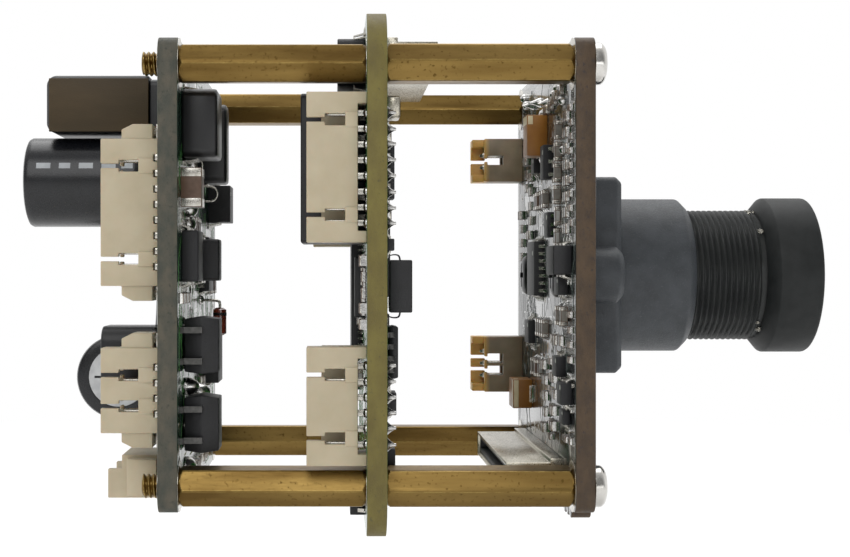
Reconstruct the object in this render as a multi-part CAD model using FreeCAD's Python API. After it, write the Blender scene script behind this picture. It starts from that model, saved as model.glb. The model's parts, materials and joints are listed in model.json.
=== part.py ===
import FreeCAD, Part
import math
import os

# A board camera: three square boards stacked on brass standoffs, with a screw-in lens.
# Millimetres. +X is the way the lens looks and +Z is up. The origin is the middle of the four
# studs, on the rear face of the rear board.

# Boards
board_thickness = 1.6
stud_pitch = 34.0
board_hole_radius = 1.1
small_board_side = 38.0
small_board_corner = 1.2
wide_board_side = 42.0
wide_board_corner = 4.0
break_tab_radius = 0.7
break_tab_pitch = 1.5
break_tab_count = 3
break_tab_from_corner = 3.0

# Brass standoffs, with a stud at the rear end and a tapped hole at the front end
standoff_length = 15.0
standoff_across_flats = 3.0
standoff_chamfer = 0.2
stud_radius = 1.0
stud_length = 3.0
stud_neck_radius = 0.8
thread_clearance = 0.03
rear_standoff_turns = [3.0, -4.0, 7.0, -2.0]
sensor_standoff_turns = [-3.0, 5.0, 9.0, 2.0]

# Pan-head screws that hold the sensor board
sensor_screw_radius = 0.98
sensor_screw_head_radius = 1.7
sensor_screw_head_height = 1.1
sensor_screw_length = 4.0
sensor_screw_crown = 0.55

# Lens holder
holder_base_side = 17.0
holder_base_height = 4.1
holder_base_corner = 0.8
holder_edge_round = 0.5
holder_ear_pitch = 20.0
holder_ear_radius = 2.4
holder_ear_height = 3.7
holder_barrel_radius = 6.95
holder_length = 11.1
holder_mouth_chamfer = 0.75
holder_pocket_side = 13.0
holder_pocket_depth = 3.0
holder_web_thickness = 1.0
holder_window_radius = 4.4
holder_screw_radius = 0.8
holder_screw_grip = 2.6
holder_screw_head_radius = 1.9
holder_screw_head_height = 0.75

# Lens: a threaded barrel with a wider head, three glass elements, a stop and a ring
lens_thread_radius = 5.925
focus_clearance = 0.05
lens_engagement = 6.1
lens_exposed_thread = 6.3
lens_head_radius = 7.03
lens_head_length = 4.7
lens_head_rear_chamfer = 0.9
lens_head_edge_round = 0.35
lens_rear_nose_length = 0.8
lens_rear_nose_step = 0.7
element_fit = 0.03
element_land = 0.5
rear_element_radius = 4.2
rear_element_edge = 1.6
rear_element_curve = 9.0
rear_pocket_depth = 3.0
lens_throat_radius = 3.6
lens_throat_length = 5.6
front_pocket_radius = 5.0
middle_element_edge = 2.2
middle_element_curve = 10.0
stop_length = 2.0
stop_radius = 2.2
front_element_edge = 1.6
front_element_curve = 9.0
retaining_ring_length = 0.8
ring_bevel = 0.15
lens_flare_radius = 6.2

# Image sensor under the holder
sensor_package_side = 11.0
sensor_package_height = 1.3
sensor_glass_side = 9.4
sensor_glass_thickness = 0.5
filter_side = 11.0
filter_thickness = 0.3
glass_corner = 0.4

# Keyed wire-to-board headers
pin_pitch = 1.25
pin_width = 0.5
pin_fit = 0.02
pin_tip_length = 0.35
pin_reach = 3.9
header_end_margin = 1.55
header_height = 4.75
header_full_depth = 2.4
header_step_depth = 1.16
header_step_height = 3.6
header_wall = 0.7
header_end_wall = 0.75
header_floor = 1.5
header_lift = 0.7
header_leg_length = 0.9
key_slit_width = 0.36
key_slit_depth = 1.45
key_window_width = 0.95
key_window_height = 1.6
key_rib_width = 1.2
key_rib_thickness = 0.14
foot_height = 0.3
foot_reach = 0.7
foot_tunnel_height = 0.52
foot_tunnel_play = 0.05
ear_length = 1.2
ear_low = 0.6
ear_high = 3.1
ear_inset = 0.25
ear_slant = 0.9
nail_thickness = 0.3
nail_post_inset = 0.3
nail_post_margin = 0.75
solder_cone_height = 0.75
solder_cone_radius = 0.52
solder_tip_radius = 0.2
pin_hole_radius = 0.45
pin_row_depth = 1.35

# Places of the headers: how far the outer wall stands in from the board's edge, and the middle
# of the row along that edge
rear_header_inset = 1.7
long_rear_header_z = 5.04
short_rear_header_z = -9.3
bottom_header_inset = 0.5
bottom_header_y = -10.5
middle_header_inset = 1.0
long_middle_header_z = 8.5
short_middle_header_z = -10.35
far_header_z = 8.85
lens_header_inset = 0.2
two_pin_header_z = 11.7
three_pin_header_z = -9.1
lens_header_height = 5.0

# Radial electrolytic capacitors
capacitor_radius = 4.0
capacitor_length = 12.0
capacitor_rim = 0.5
capacitor_lead_width = 0.55
capacitor_lead_pitch = 3.5
upper_capacitor_y = -2.0
upper_capacitor_z = 8.35
upper_capacitor_gap = 1.4
lower_capacitor_x = -6.5
lower_capacitor_z = -9.7
lower_capacitor_near_y = 5.0

# Isolating transformer
transformer_near_y = -5.0
transformer_depth = 12.7
transformer_low_z = 12.6
transformer_high_z = 17.7
transformer_rear_x = -11.5
transformer_base_thickness = 2.4
transformer_base_inset = 0.6
transformer_corner = 0.9
transformer_groove = 0.4

# Choke beside the short rear header
choke_from_edge = 9.5
choke_z = -7.2
choke_across = 6.0
choke_up = 5.8
choke_height = 5.5
choke_corner = 1.4
choke_base_height = 0.8
choke_base_corner = 0.7

# Leaded packages
lead_thickness = 0.2
lead_shoulder = 0.35
rectifier_length = 4.7
rectifier_width = 3.8
rectifier_height = 2.8
rectifier_lift = 0.2
rectifier_draft = 0.2
rectifier_lead_pitch = 2.54
rectifier_lead_width = 0.5
rectifier_lead_reach = 1.1
rectifier_from_edge = 5.4
rectifier_z = [-5.75, -12.2]

flash_chip_from_edge = 5.6
flash_chip_z = -6.25
flash_chip_width = 3.0
flash_chip_length = 4.3
flash_chip_height = 0.8
flash_chip_lead_count = 4
flash_chip_lead_pitch = 0.95
flash_chip_lead_width = 0.4
flash_chip_lead_reach = 0.9

# Metal-shelled ribbon connectors
ribbon_wall = 0.25
ribbon_mouth_height = 0.9
ribbon_body_wall = 0.5
upper_ribbon_y = -0.75
upper_ribbon_length = 26.3
upper_ribbon_low_z = 17.3
upper_ribbon_thickness = 2.0
upper_ribbon_depth = 4.4
lower_ribbon_y = 0.35
lower_ribbon_length = 25.3
lower_ribbon_high_z = -15.7
lower_ribbon_thickness = 2.3
lower_ribbon_depth = 4.8
ribbon_rail_depth = 1.1
ribbon_rail_height = 0.35

# Faces that everything else stands on
rear_board_back = 0.0
rear_board_front = rear_board_back + board_thickness
middle_board_back = rear_board_front + standoff_length
middle_board_front = middle_board_back + board_thickness
sensor_board_back = middle_board_front + standoff_length
sensor_board_front = sensor_board_back + board_thickness
holder_mouth = sensor_board_front + holder_length
rearward = -1
forward = 1

# Where things stand on the boards
half_pitch = stud_pitch / 2
small_half = small_board_side / 2
wide_half = wide_board_side / 2
rear_header_wall = small_half - rear_header_inset
bottom_header_wall = small_half - bottom_header_inset
middle_header_wall = wide_half - middle_header_inset
lens_header_wall = small_half - lens_header_inset


def vector(x, y, z):
    return FreeCAD.Vector(x, y, z)


def block(low, high):
    size = [high[i] - low[i] for i in range(3)]
    return Part.makeBox(size[0], size[1], size[2], vector(*low))


def rod_x(radius, x_start, x_end, y, z):
    return Part.makeCylinder(radius, x_end - x_start, vector(x_start, y, z), vector(1, 0, 0))


def lathe_x(profile, y=0.0, z=0.0):
    # Turns a closed outline of (x, radius) points about a line along X
    points = [vector(x, radius, 0) for x, radius in profile]
    face = Part.Face(Part.makePolygon(points + points[:1]))
    turned = face.revolve(vector(0, 0, 0), vector(1, 0, 0), 360)
    turned.translate(vector(0, y, z))
    return turned


def rounded_slab(x_start, x_end, side_y, side_z, corner, y=0.0, z=0.0):
    slab = block((x_start, y - side_y / 2, z - side_z / 2), (x_end, y + side_y / 2, z + side_z / 2))
    along_x = [e for e in slab.Edges if abs(e.tangentAt(e.FirstParameter).x) > 0.99]
    return slab.makeFillet(corner, along_x)


def join(shapes):
    return shapes[0].multiFuse(shapes[1:]).removeSplitter() if len(shapes) > 1 else shapes[0]


def save(node, solids):
    shape = solids[0] if len(solids) == 1 else Part.makeCompound(solids)
    shape.exportStep(os.path.join("parts", node + ".step"))


def stand(face, direction, y, z, across, up, tall, lift=0.0):
    # A block of a given height that stands on a board face
    near = face + direction * lift
    far = near + direction * tall
    low = (min(near, far), y - across / 2, z - up / 2)
    high = (max(near, far), y + across / 2, z + up / 2)
    return block(low, high)


def stud_places():
    return [(y, z) for z in (half_pitch, -half_pitch) for y in (-half_pitch, half_pitch)]


def drilled(board, face, places, radius):
    holes = [rod_x(radius, face, face + board_thickness, y, z) for y, z in places]
    return board.cut(Part.makeCompound(holes))


# Standoffs and screws

def hexagon_bar(across_flats, x_start, x_end, turn, chamfer):
    corner_radius = across_flats / math.sqrt(3)
    corners = []
    for i in range(6):
        angle = math.radians(60 * i + turn)
        corners.append(vector(x_start, corner_radius * math.cos(angle), corner_radius * math.sin(angle)))
    bar = Part.Face(Part.makePolygon(corners + corners[:1])).extrude(vector(x_end - x_start, 0, 0))
    rims = [e for e in bar.Edges if abs(e.tangentAt(e.FirstParameter).x) < 0.5]
    return bar.makeChamfer(chamfer, rims)


def standoff(rear_face, y, z, turn, grip):
    # The stud goes back through the board behind, on a relieved neck as long as that board is
    # thick. The tapped hole opens at the front and is as deep as the thread that it grips.
    front_face = rear_face + standoff_length
    neck_end = rear_face - board_thickness
    stud_end = rear_face - stud_length
    tapped_depth = grip + thread_clearance
    bar = hexagon_bar(standoff_across_flats, rear_face, front_face, turn, standoff_chamfer)
    neck = rod_x(stud_neck_radius, neck_end, rear_face, 0, 0)
    stud = rod_x(stud_radius, stud_end, neck_end, 0, 0)
    hole = rod_x(stud_radius + thread_clearance, front_face - tapped_depth, front_face, 0, 0)
    piece = join([bar, neck, stud]).cut(hole)
    piece.translate(vector(0, y, z))
    return piece


def pan_screw(seat, y, z):
    head_end = seat + sensor_screw_head_height
    crown_start = head_end - sensor_screw_crown
    shank_end = seat - sensor_screw_length
    return lathe_x([(shank_end, 0), (shank_end, sensor_screw_radius), (seat, sensor_screw_radius),
                    (seat, sensor_screw_head_radius), (crown_start, sensor_screw_head_radius),
                    (head_end, sensor_screw_head_radius - sensor_screw_crown), (head_end, 0)], y, z)


def holder_screw(y):
    seat = sensor_board_back
    head_end = seat - holder_screw_head_height
    tip = sensor_board_front + holder_screw_grip
    return lathe_x([(head_end, 0), (head_end, holder_screw_head_radius),
                    (seat, holder_screw_head_radius), (seat, holder_screw_radius),
                    (tip, holder_screw_radius), (tip, 0)], y, 0)


# Headers: built with the row along X, depth along Y and height along Z, then placed

def header_length(pins):
    return (pins - 1) * pin_pitch + 2 * header_end_margin


def pin_places(pins):
    return [(i - (pins - 1) / 2) * pin_pitch for i in range(pins)]


def key_places(pins):
    offset = (pins - 2) / 2 * pin_pitch
    return [-offset, offset] if offset > 0 else [0.0]


def header_depth():
    return header_full_depth + header_step_depth


def header_ear(length, side):
    # A moulded ear at the end of a surface-mounted header, with one slanted corner
    start = length / 2
    end = start + ear_length
    outline = [(start, ear_low), (end, ear_low), (end, ear_high - ear_slant),
               (end - ear_slant / 2, ear_high), (start, ear_high)]
    points = [vector(side * u, ear_inset, w) for u, w in outline]
    face = Part.Face(Part.makePolygon(points + points[:1]))
    return face.extrude(vector(0, header_depth() - 2 * ear_inset, 0))


def header_housing(pins, height, surface_mounted, eared, open_windows):
    length = header_length(pins)
    half = length / 2
    depth = header_depth()
    base = 0.0 if surface_mounted else header_lift
    step_height = height - (header_height - header_step_height)
    full = block((-half, 0, base), (half, header_full_depth, height))
    step = block((-half, header_full_depth, base), (half, depth, step_height))
    solids = [full, step]
    for place in key_places(pins):
        rib_top = height - key_slit_depth - key_window_height
        solids.append(block((place - key_rib_width / 2, -key_rib_thickness, base),
                            (place + key_rib_width / 2, 0, rib_top)))
    for side in (-1, 1):
        if eared:
            solids.append(header_ear(length, side))
        if not surface_mounted:
            ends = sorted((side * half, side * (half - header_leg_length)))
            solids.append(block((ends[0], 0, 0), (ends[1], depth, base)))
    housing = join(solids)
    cuts = [block((-half + header_end_wall, header_wall, header_floor),
                  (half - header_end_wall, depth - header_wall, height))]
    window_depth = depth if open_windows else header_wall
    for place in key_places(pins):
        slit_low = height - key_slit_depth
        window_low = slit_low - key_window_height
        slit_end = depth if open_windows else header_wall
        cuts.append(block((place - key_slit_width / 2, 0, slit_low),
                          (place + key_slit_width / 2, slit_end, height)))
        cuts.append(block((place - key_window_width / 2, 0, window_low),
                          (place + key_window_width / 2, window_depth, slit_low)))
    half_hole = pin_width / 2 + pin_fit
    for place in pin_places(pins):
        cuts.append(block((place - half_hole, pin_row_depth - half_hole, 0),
                          (place + half_hole, pin_row_depth + half_hole, header_floor)))
        if surface_mounted:
            reach = pin_width / 2 + foot_tunnel_play
            cuts.append(block((place - reach, -key_rib_thickness, 0),
                              (place + reach, pin_row_depth, foot_tunnel_height)))
    return housing.cut(Part.makeCompound(cuts))


def header_pin(place, height, surface_mounted):
    half = pin_width / 2
    row = pin_row_depth
    top = height - (header_height - pin_reach)
    bottom = 0.0 if surface_mounted else -board_thickness
    post = block((place - half, row - half, bottom), (place + half, row + half, top - pin_tip_length))
    tip_base = [vector(place + half * a, row + half * b, top - pin_tip_length)
                for a, b in ((-1, -1), (1, -1), (1, 1), (-1, 1))]
    tip_end = [vector(place + half * a / 2, row + half * b / 2, top)
               for a, b in ((-1, -1), (1, -1), (1, 1), (-1, 1))]
    tip = Part.makeLoft([Part.makePolygon(tip_base + tip_base[:1]),
                         Part.makePolygon(tip_end + tip_end[:1])], True, True)
    pieces = [post, tip]
    if surface_mounted:
        pieces.append(block((place - half, -foot_reach, 0), (place + half, row - half, foot_height)))
    return join(pieces)


def header_nails(pins):
    # The solder tabs under the two ears, each with a post that goes up into its ear
    start = header_length(pins) / 2
    depth = header_depth()
    nails = []
    for side in (-1, 1):
        ends = sorted((side * start, side * (start + ear_length)))
        tab = block((ends[0], ear_inset, 0), (ends[1], depth - ear_inset, nail_thickness))
        post_ends = sorted((side * (start + nail_post_inset), side * (start + ear_length - nail_post_inset)))
        post = block((post_ends[0], ear_inset + nail_post_margin, nail_thickness),
                     (post_ends[1], depth - ear_inset - nail_post_margin, ear_low))
        nails.append(join([tab, post]))
    return nails


def placed(shape, face, row_axis, depth_axis, wall, middle):
    # Turns a header so that its height points rearward from a board face. row_axis and
    # depth_axis are the directions of its row and of its depth.
    height_axis = row_axis.cross(depth_axis)
    matrix = FreeCAD.Matrix(row_axis.x, depth_axis.x, height_axis.x, 0,
                            row_axis.y, depth_axis.y, height_axis.y, 0,
                            row_axis.z, depth_axis.z, height_axis.z, 0,
                            0, 0, 0, 1)
    along = vector(abs(row_axis.x), abs(row_axis.y), abs(row_axis.z))
    turned = shape.transformed(matrix)
    turned.translate(vector(face, 0, 0) - depth_axis * wall + along * middle)
    return turned


near_edge = (vector(0, 0, 1), vector(0, 1, 0))
far_edge = (vector(0, 0, -1), vector(0, -1, 0))
bottom_edge = (vector(0, -1, 0), vector(0, 0, 1))

headers = {
    "long_rear_header": dict(pins=8, face=rear_board_back, edge=near_edge, wall=rear_header_wall,
                             middle=long_rear_header_z, height=header_height,
                             surface=True, eared=True, open=True),
    "short_rear_header": dict(pins=4, face=rear_board_back, edge=near_edge, wall=rear_header_wall,
                              middle=short_rear_header_z, height=header_height,
                              surface=True, eared=True, open=True),
    "bottom_rear_header": dict(pins=3, face=rear_board_back, edge=bottom_edge, wall=bottom_header_wall,
                               middle=bottom_header_y, height=header_height,
                               surface=True, eared=True, open=False),
    "long_middle_header": dict(pins=8, face=middle_board_back, edge=near_edge, wall=middle_header_wall,
                               middle=long_middle_header_z, height=header_height,
                               surface=False, eared=False, open=False),
    "short_middle_header": dict(pins=6, face=middle_board_back, edge=near_edge, wall=middle_header_wall,
                                middle=short_middle_header_z, height=header_height,
                                surface=False, eared=False, open=False),
    "far_middle_header": dict(pins=8, face=middle_board_back, edge=far_edge, wall=middle_header_wall,
                              middle=far_header_z, height=header_height,
                              surface=False, eared=False, open=False),
    "two_pin_lens_header": dict(pins=2, face=sensor_board_back, edge=far_edge, wall=lens_header_wall,
                                middle=two_pin_header_z, height=lens_header_height,
                                surface=True, eared=False, open=True),
    "three_pin_lens_header": dict(pins=3, face=sensor_board_back, edge=far_edge, wall=lens_header_wall,
                                  middle=three_pin_header_z, height=lens_header_height,
                                  surface=True, eared=False, open=True),
}


def place_header(shape, header):
    row_axis, depth_axis = header["edge"]
    return placed(shape, header["face"], row_axis, depth_axis, header["wall"], header["middle"])


def through_pin_places():
    # Where the pins of the through-hole headers cross the middle board
    places = []
    for header in headers.values():
        if not header["surface"]:
            for place in pin_places(header["pins"]):
                row, depth = header["edge"]
                spot = row * place - depth * (header["wall"] - pin_row_depth)
                places.append((spot.y, spot.z + header["middle"]))
    return places


def hexagon_wire(x, radius, y, z):
    angles = [math.radians(60 * i) for i in range(6)]
    corners = [vector(x, y + radius * math.cos(a), z + radius * math.sin(a)) for a in angles]
    return Part.makePolygon(corners + corners[:1])


def solder_cone(y, z):
    # A peak of solder over the end of a pin, with six flat sides
    base = hexagon_wire(middle_board_front, solder_cone_radius, y, z)
    peak = hexagon_wire(middle_board_front + solder_cone_height, solder_tip_radius, y, z)
    return Part.makeLoft([base, peak], True, True)


def pin_hole(y, z):
    wire = hexagon_wire(middle_board_back, pin_hole_radius, y, z)
    return Part.Face(wire).extrude(vector(board_thickness, 0, 0))


# Boards

def rear_board():
    board = rounded_slab(rear_board_back, rear_board_front, small_board_side, small_board_side,
                         small_board_corner)
    return drilled(board, rear_board_back, stud_places(), board_hole_radius)


def middle_board():
    board = rounded_slab(middle_board_back, middle_board_front, wide_board_side, wide_board_side,
                         wide_board_corner)
    board = drilled(board, middle_board_back, stud_places(), board_hole_radius)
    return board.cut(Part.makeCompound([pin_hole(y, z) for y, z in through_pin_places()]))


def sensor_board():
    # The lower edge keeps the stubs of its break-off tab
    board = rounded_slab(sensor_board_back, sensor_board_front, small_board_side, small_board_side,
                         small_board_corner)
    stubs = []
    for i in range(break_tab_count):
        y = -small_half + break_tab_from_corner + i * break_tab_pitch
        stubs.append(rod_x(break_tab_radius, sensor_board_back, sensor_board_front, y, -small_half))
    board = join([board] + stubs)
    board = drilled(board, sensor_board_back, stud_places(), board_hole_radius)
    screws = [(side * holder_ear_pitch / 2, 0) for side in (-1, 1)]
    return drilled(board, sensor_board_back, screws, holder_screw_radius + thread_clearance)


# Lens holder and lens

holder_web_rear = sensor_board_front + holder_pocket_depth
holder_web_front = holder_web_rear + holder_web_thickness
lens_back = holder_mouth - lens_engagement
lens_head_rear = holder_mouth + lens_exposed_thread
lens_front = lens_head_rear + lens_head_length
rear_seat = lens_back + rear_pocket_depth
front_seat = rear_seat + lens_throat_length
middle_land = front_seat + middle_element_edge
front_element_rear = middle_land + stop_length
front_land = front_element_rear + front_element_edge
ring_front = front_land + retaining_ring_length


def lens_holder():
    start = sensor_board_front
    base_front = start + holder_base_height
    base = rounded_slab(start, base_front, holder_base_side, holder_base_side, holder_base_corner)
    front_edges = [e for e in base.Edges if all(abs(v.X - base_front) < 1e-6 for v in e.Vertexes)]
    base = base.makeChamfer(holder_edge_round, front_edges)
    half_pocket = holder_pocket_side / 2
    ears = []
    ear_front = start + holder_ear_height
    for side in (-1, 1):
        y = side * holder_ear_pitch / 2
        inner = side * half_pocket
        web_low, web_high = sorted((y, inner))
        disc = rod_x(holder_ear_radius, start, ear_front, y, 0)
        web = block((start, web_low, -holder_ear_radius), (ear_front, web_high, holder_ear_radius))
        ear = join([disc, web])
        rims = [e for e in ear.Edges if all(abs(v.X - ear_front) < 1e-6 for v in e.Vertexes)
                and abs(e.CenterOfMass.y) > abs(inner) + 1e-3]
        ears.append(ear.makeChamfer(holder_edge_round, rims))
    mouth_radius = holder_barrel_radius - holder_mouth_chamfer
    barrel = lathe_x([(start, 0), (start, holder_barrel_radius),
                      (holder_mouth - holder_mouth_chamfer, holder_barrel_radius),
                      (holder_mouth, mouth_radius), (holder_mouth, 0)])
    body = join([base, barrel] + ears)
    pocket = block((start, -half_pocket, -half_pocket), (holder_web_rear, half_pocket, half_pocket))
    window = rod_x(holder_window_radius, holder_web_rear, holder_web_front, 0, 0)
    bore = rod_x(lens_thread_radius + focus_clearance, holder_web_front, holder_mouth, 0, 0)
    pilot_end = start + holder_screw_grip + thread_clearance
    pilots = [rod_x(holder_screw_radius + thread_clearance, start, pilot_end, side * holder_ear_pitch / 2, 0)
              for side in (-1, 1)]
    return body.cut(Part.makeCompound([pocket, window, bore] + pilots))


def lens_barrel():
    nose_radius = lens_thread_radius - lens_rear_nose_step
    return lathe_x([(lens_back, rear_element_radius), (lens_back, nose_radius),
                    (lens_back + lens_rear_nose_length, nose_radius),
                    (lens_back + lens_rear_nose_length, lens_thread_radius),
                    (lens_head_rear, lens_thread_radius),
                    (lens_head_rear + lens_head_rear_chamfer, lens_head_radius),
                    (lens_front - lens_head_edge_round, lens_head_radius),
                    (lens_front, lens_head_radius - lens_head_edge_round), (lens_front, lens_flare_radius),
                    (ring_front, front_pocket_radius), (front_seat, front_pocket_radius),
                    (front_seat, lens_throat_radius), (rear_seat, lens_throat_radius),
                    (rear_seat, rear_element_radius)])


def glass_element(flat, land, radius, curve):
    # Flat on one side and domed on the other, with a flat land around the dome
    direction = 1 if land > flat else -1
    dome_radius = radius - element_land
    rise = curve - math.sqrt(curve ** 2 - dome_radius ** 2)
    middle_radius = dome_radius * math.sin(math.radians(45))
    middle_rise = rise - (curve - math.sqrt(curve ** 2 - middle_radius ** 2))
    top = vector(land + direction * rise, 0, 0)
    shoulder = vector(land, dome_radius, 0)
    middle = vector(land + direction * middle_rise, middle_radius, 0)
    wire = Part.Wire([
        Part.makeLine(vector(flat, 0, 0), vector(flat, radius, 0)),
        Part.makeLine(vector(flat, radius, 0), vector(land, radius, 0)),
        Part.makeLine(vector(land, radius, 0), shoulder),
        Part.Arc(shoulder, middle, top).toShape(),
        Part.makeLine(top, vector(flat, 0, 0)),
    ])
    return Part.Face(wire).revolve(vector(0, 0, 0), vector(1, 0, 0), 360)


def aperture_stop():
    outer = front_pocket_radius - element_fit
    inner = outer - element_land + element_fit
    edge = front_element_rear - element_land
    return lathe_x([(middle_land, inner), (middle_land, outer), (front_element_rear, outer),
                    (front_element_rear, stop_radius + element_land), (edge, stop_radius)])


def retaining_ring():
    outer = front_pocket_radius - element_fit
    inner = outer - element_land + element_fit
    return lathe_x([(front_land, inner), (front_land, outer), (ring_front, outer),
                    (ring_front, inner + ring_bevel)])


# Capacitors, transformer and choke

def capacitor():
    # Stands on its rubber end at the origin, with its vented end up
    top = capacitor_length - capacitor_rim
    outline = [(0, 0), (capacitor_radius, 0), (capacitor_radius, top),
               (capacitor_radius - capacitor_rim, capacitor_length), (0, capacitor_length)]
    points = [vector(radius, 0, height) for radius, height in outline]
    face = Part.Face(Part.makePolygon(points + points[:1]))
    return face.revolve(vector(0, 0, 0), vector(0, 0, 1), 360)


def upper_capacitor():
    base = rear_board_back - upper_capacitor_gap
    can = capacitor()
    can.rotate(vector(0, 0, 0), vector(0, 1, 0), -90)
    can.translate(vector(base, upper_capacitor_y, upper_capacitor_z))
    half = capacitor_lead_width / 2
    pieces = [can]
    for side in (-1, 1):
        y = upper_capacitor_y + side * capacitor_lead_pitch / 2
        pieces.append(block((base, y - half, upper_capacitor_z - half),
                            (rear_board_back, y + half, upper_capacitor_z + half)))
    return join(pieces)


def lower_capacitor():
    # Lies along the board's face, with two leads that turn down to the board
    can = capacitor()
    can.rotate(vector(0, 0, 0), vector(1, 0, 0), 90)
    far_end = lower_capacitor_near_y + capacitor_length
    can.translate(vector(lower_capacitor_x, far_end, lower_capacitor_z))
    half = capacitor_lead_width / 2
    bend_y = far_end + 2 * capacitor_lead_width
    pieces = [can]
    for side in (-1, 1):
        z = lower_capacitor_z + side * capacitor_lead_pitch / 2
        pieces.append(block((lower_capacitor_x - half, far_end, z - half),
                            (lower_capacitor_x + half, bend_y, z + half)))
        pieces.append(block((lower_capacitor_x + half, bend_y - 2 * half, z - half),
                            (rear_board_back, bend_y, z + half)))
    return join(pieces)


def transformer_core():
    front = rear_board_back - transformer_base_thickness
    middle_x = (transformer_rear_x + front) / 2
    core = block((transformer_rear_x, transformer_near_y, transformer_low_z),
                 (front, transformer_near_y + transformer_depth, transformer_high_z))
    corners = [e for e in core.Edges if abs(e.tangentAt(e.FirstParameter).y) > 0.99
               and e.CenterOfMass.x < middle_x]
    core = core.makeFillet(transformer_corner, corners)
    near_rim = [e for e in core.Edges if abs(e.CenterOfMass.y - transformer_near_y) < 1e-6]
    return core.makeChamfer(transformer_groove, near_rim)


def transformer_base():
    middle_y = transformer_near_y + transformer_depth / 2
    middle_z = (transformer_low_z + transformer_high_z) / 2
    height = transformer_high_z - transformer_low_z
    return rounded_slab(rear_board_back - transformer_base_thickness, rear_board_back,
                        transformer_depth - transformer_base_inset, height - transformer_base_inset,
                        transformer_base_inset, middle_y, middle_z)


def choke():
    y = choke_from_edge - small_half
    top = stand(rear_board_back, rearward, y, choke_z, choke_across, choke_up,
                choke_height - choke_base_height, choke_base_height)
    along_x = [e for e in top.Edges if abs(e.tangentAt(e.FirstParameter).x) > 0.99]
    top = top.makeFillet(choke_corner, along_x)
    base = stand(rear_board_back, rearward, y, choke_z, choke_across, choke_up, choke_base_height)
    base_corners = [e for e in base.Edges if abs(e.tangentAt(e.FirstParameter).x) > 0.99]
    return join([top, base.makeChamfer(choke_base_corner, base_corners)])


# Leaded packages

def drafted_body(face, direction, y, z, across, up, tall, lift, draft):
    # A moulded body, widest at its parting line and drawn in at the top and bottom
    near = face + direction * lift
    far = near + direction * tall
    middle = (near + far) / 2

    def outline(x, inset):
        half_y = across / 2 - inset
        half_z = up / 2 - inset
        corners = [vector(x, y + a * half_y, z + b * half_z) for a, b in ((-1, -1), (1, -1), (1, 1), (-1, 1))]
        return Part.makePolygon(corners + corners[:1])

    lower = Part.makeLoft([outline(near, draft), outline(middle, 0)], True, True)
    upper = Part.makeLoft([outline(middle, 0), outline(far, draft)], True, True)
    return lower.fuse(upper)


def gull_lead(face, direction, start_y, side, z, width, exit_height, reach):
    # Leaves the body at its parting line, drops to the board and ends in a flat foot
    t = lead_thickness
    knee = start_y + side * lead_shoulder
    toe = start_y + side * reach
    over = exit_height + t / 2
    under = exit_height - t / 2
    outline = [(over, start_y), (over, knee + side * t / 2), (t, knee + side * t), (t, toe), (0, toe),
               (0, knee), (under, knee - side * t / 2), (under, start_y)]
    points = [vector(face + direction * h, y, z - width / 2) for h, y in outline]
    return Part.Face(Part.makePolygon(points + points[:1])).extrude(vector(0, 0, width))


def leaded_package(face, direction, y, z, across, up, tall, lift, draft, lead_zs, lead_width, reach):
    pieces = [drafted_body(face, direction, y, z, across, up, tall, lift, draft)]
    for side in (-1, 1):
        for lead_z in lead_zs:
            pieces.append(gull_lead(face, direction, y + side * across / 2, side, lead_z, lead_width,
                                    lift + tall / 2, reach))
    return pieces


def flash_chip():
    first = flash_chip_z - (flash_chip_lead_count - 1) / 2 * flash_chip_lead_pitch
    leads = [first + i * flash_chip_lead_pitch for i in range(flash_chip_lead_count)]
    y = flash_chip_from_edge - wide_half
    return leaded_package(middle_board_front, forward, y, flash_chip_z, flash_chip_width, flash_chip_length,
                          flash_chip_height, lead_thickness, lead_thickness / 2, leads,
                          flash_chip_lead_width, flash_chip_lead_reach)


def bridge_rectifiers():
    solids = []
    y = rectifier_from_edge - small_half
    for z in rectifier_z:
        leads = [z - rectifier_lead_pitch / 2, z + rectifier_lead_pitch / 2]
        solids += leaded_package(rear_board_front, forward, y, z, rectifier_width, rectifier_length,
                                 rectifier_height, rectifier_lift, rectifier_draft, leads,
                                 rectifier_lead_width, rectifier_lead_reach)
    return solids


# Ribbon connectors

def ribbon_shell(face, direction, y, length, low_z, high_z, depth):
    # A folded metal shell, open at the end away from the board, with a raised rail by the board
    mouth = face + direction * depth
    rail_end = face + direction * ribbon_rail_depth
    low_y = y - length / 2
    high_y = y + length / 2
    shell = block((min(face, mouth), low_y, low_z), (max(face, mouth), high_y, high_z))
    rail = block((min(face, rail_end), low_y, high_z),
                 (max(face, rail_end), high_y, high_z + ribbon_rail_height))
    inner = block((min(rail_end, mouth), low_y + ribbon_wall, low_z + ribbon_wall),
                  (max(rail_end, mouth), high_y - ribbon_wall, high_z - ribbon_wall))
    return join([shell, rail]).cut(inner)


def ribbon_body(face, direction, y, length, low_z, high_z, depth):
    mouth = face + direction * (depth - ribbon_wall)
    rail_end = face + direction * ribbon_rail_depth
    low_y = y - length / 2 + ribbon_wall
    high_y = y + length / 2 - ribbon_wall
    body = block((min(rail_end, mouth), low_y, low_z + ribbon_wall),
                 (max(rail_end, mouth), high_y, high_z - ribbon_wall))
    middle_z = (low_z + high_z) / 2
    slot_start = rail_end + direction * ribbon_body_wall
    slot = block((min(slot_start, mouth), low_y + ribbon_body_wall, middle_z - ribbon_mouth_height / 2),
                 (max(slot_start, mouth), high_y - ribbon_body_wall, middle_z + ribbon_mouth_height / 2))
    return body.cut(slot)


# Small parts. Each is a block that stands on a board: across is its size along Y, up along Z
# and tall off the board. Its middle is at y and z, or at edge from the board's near edge, or at
# stud from the near row of studs.
rear_front = dict(face=rear_board_front, direction=forward, near=-small_half)
middle_rear = dict(face=middle_board_back, direction=rearward, near=-wide_half)
middle_front = dict(face=middle_board_front, direction=forward, near=-wide_half)
sensor_rear = dict(face=sensor_board_back, direction=rearward, near=-small_half)

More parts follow.
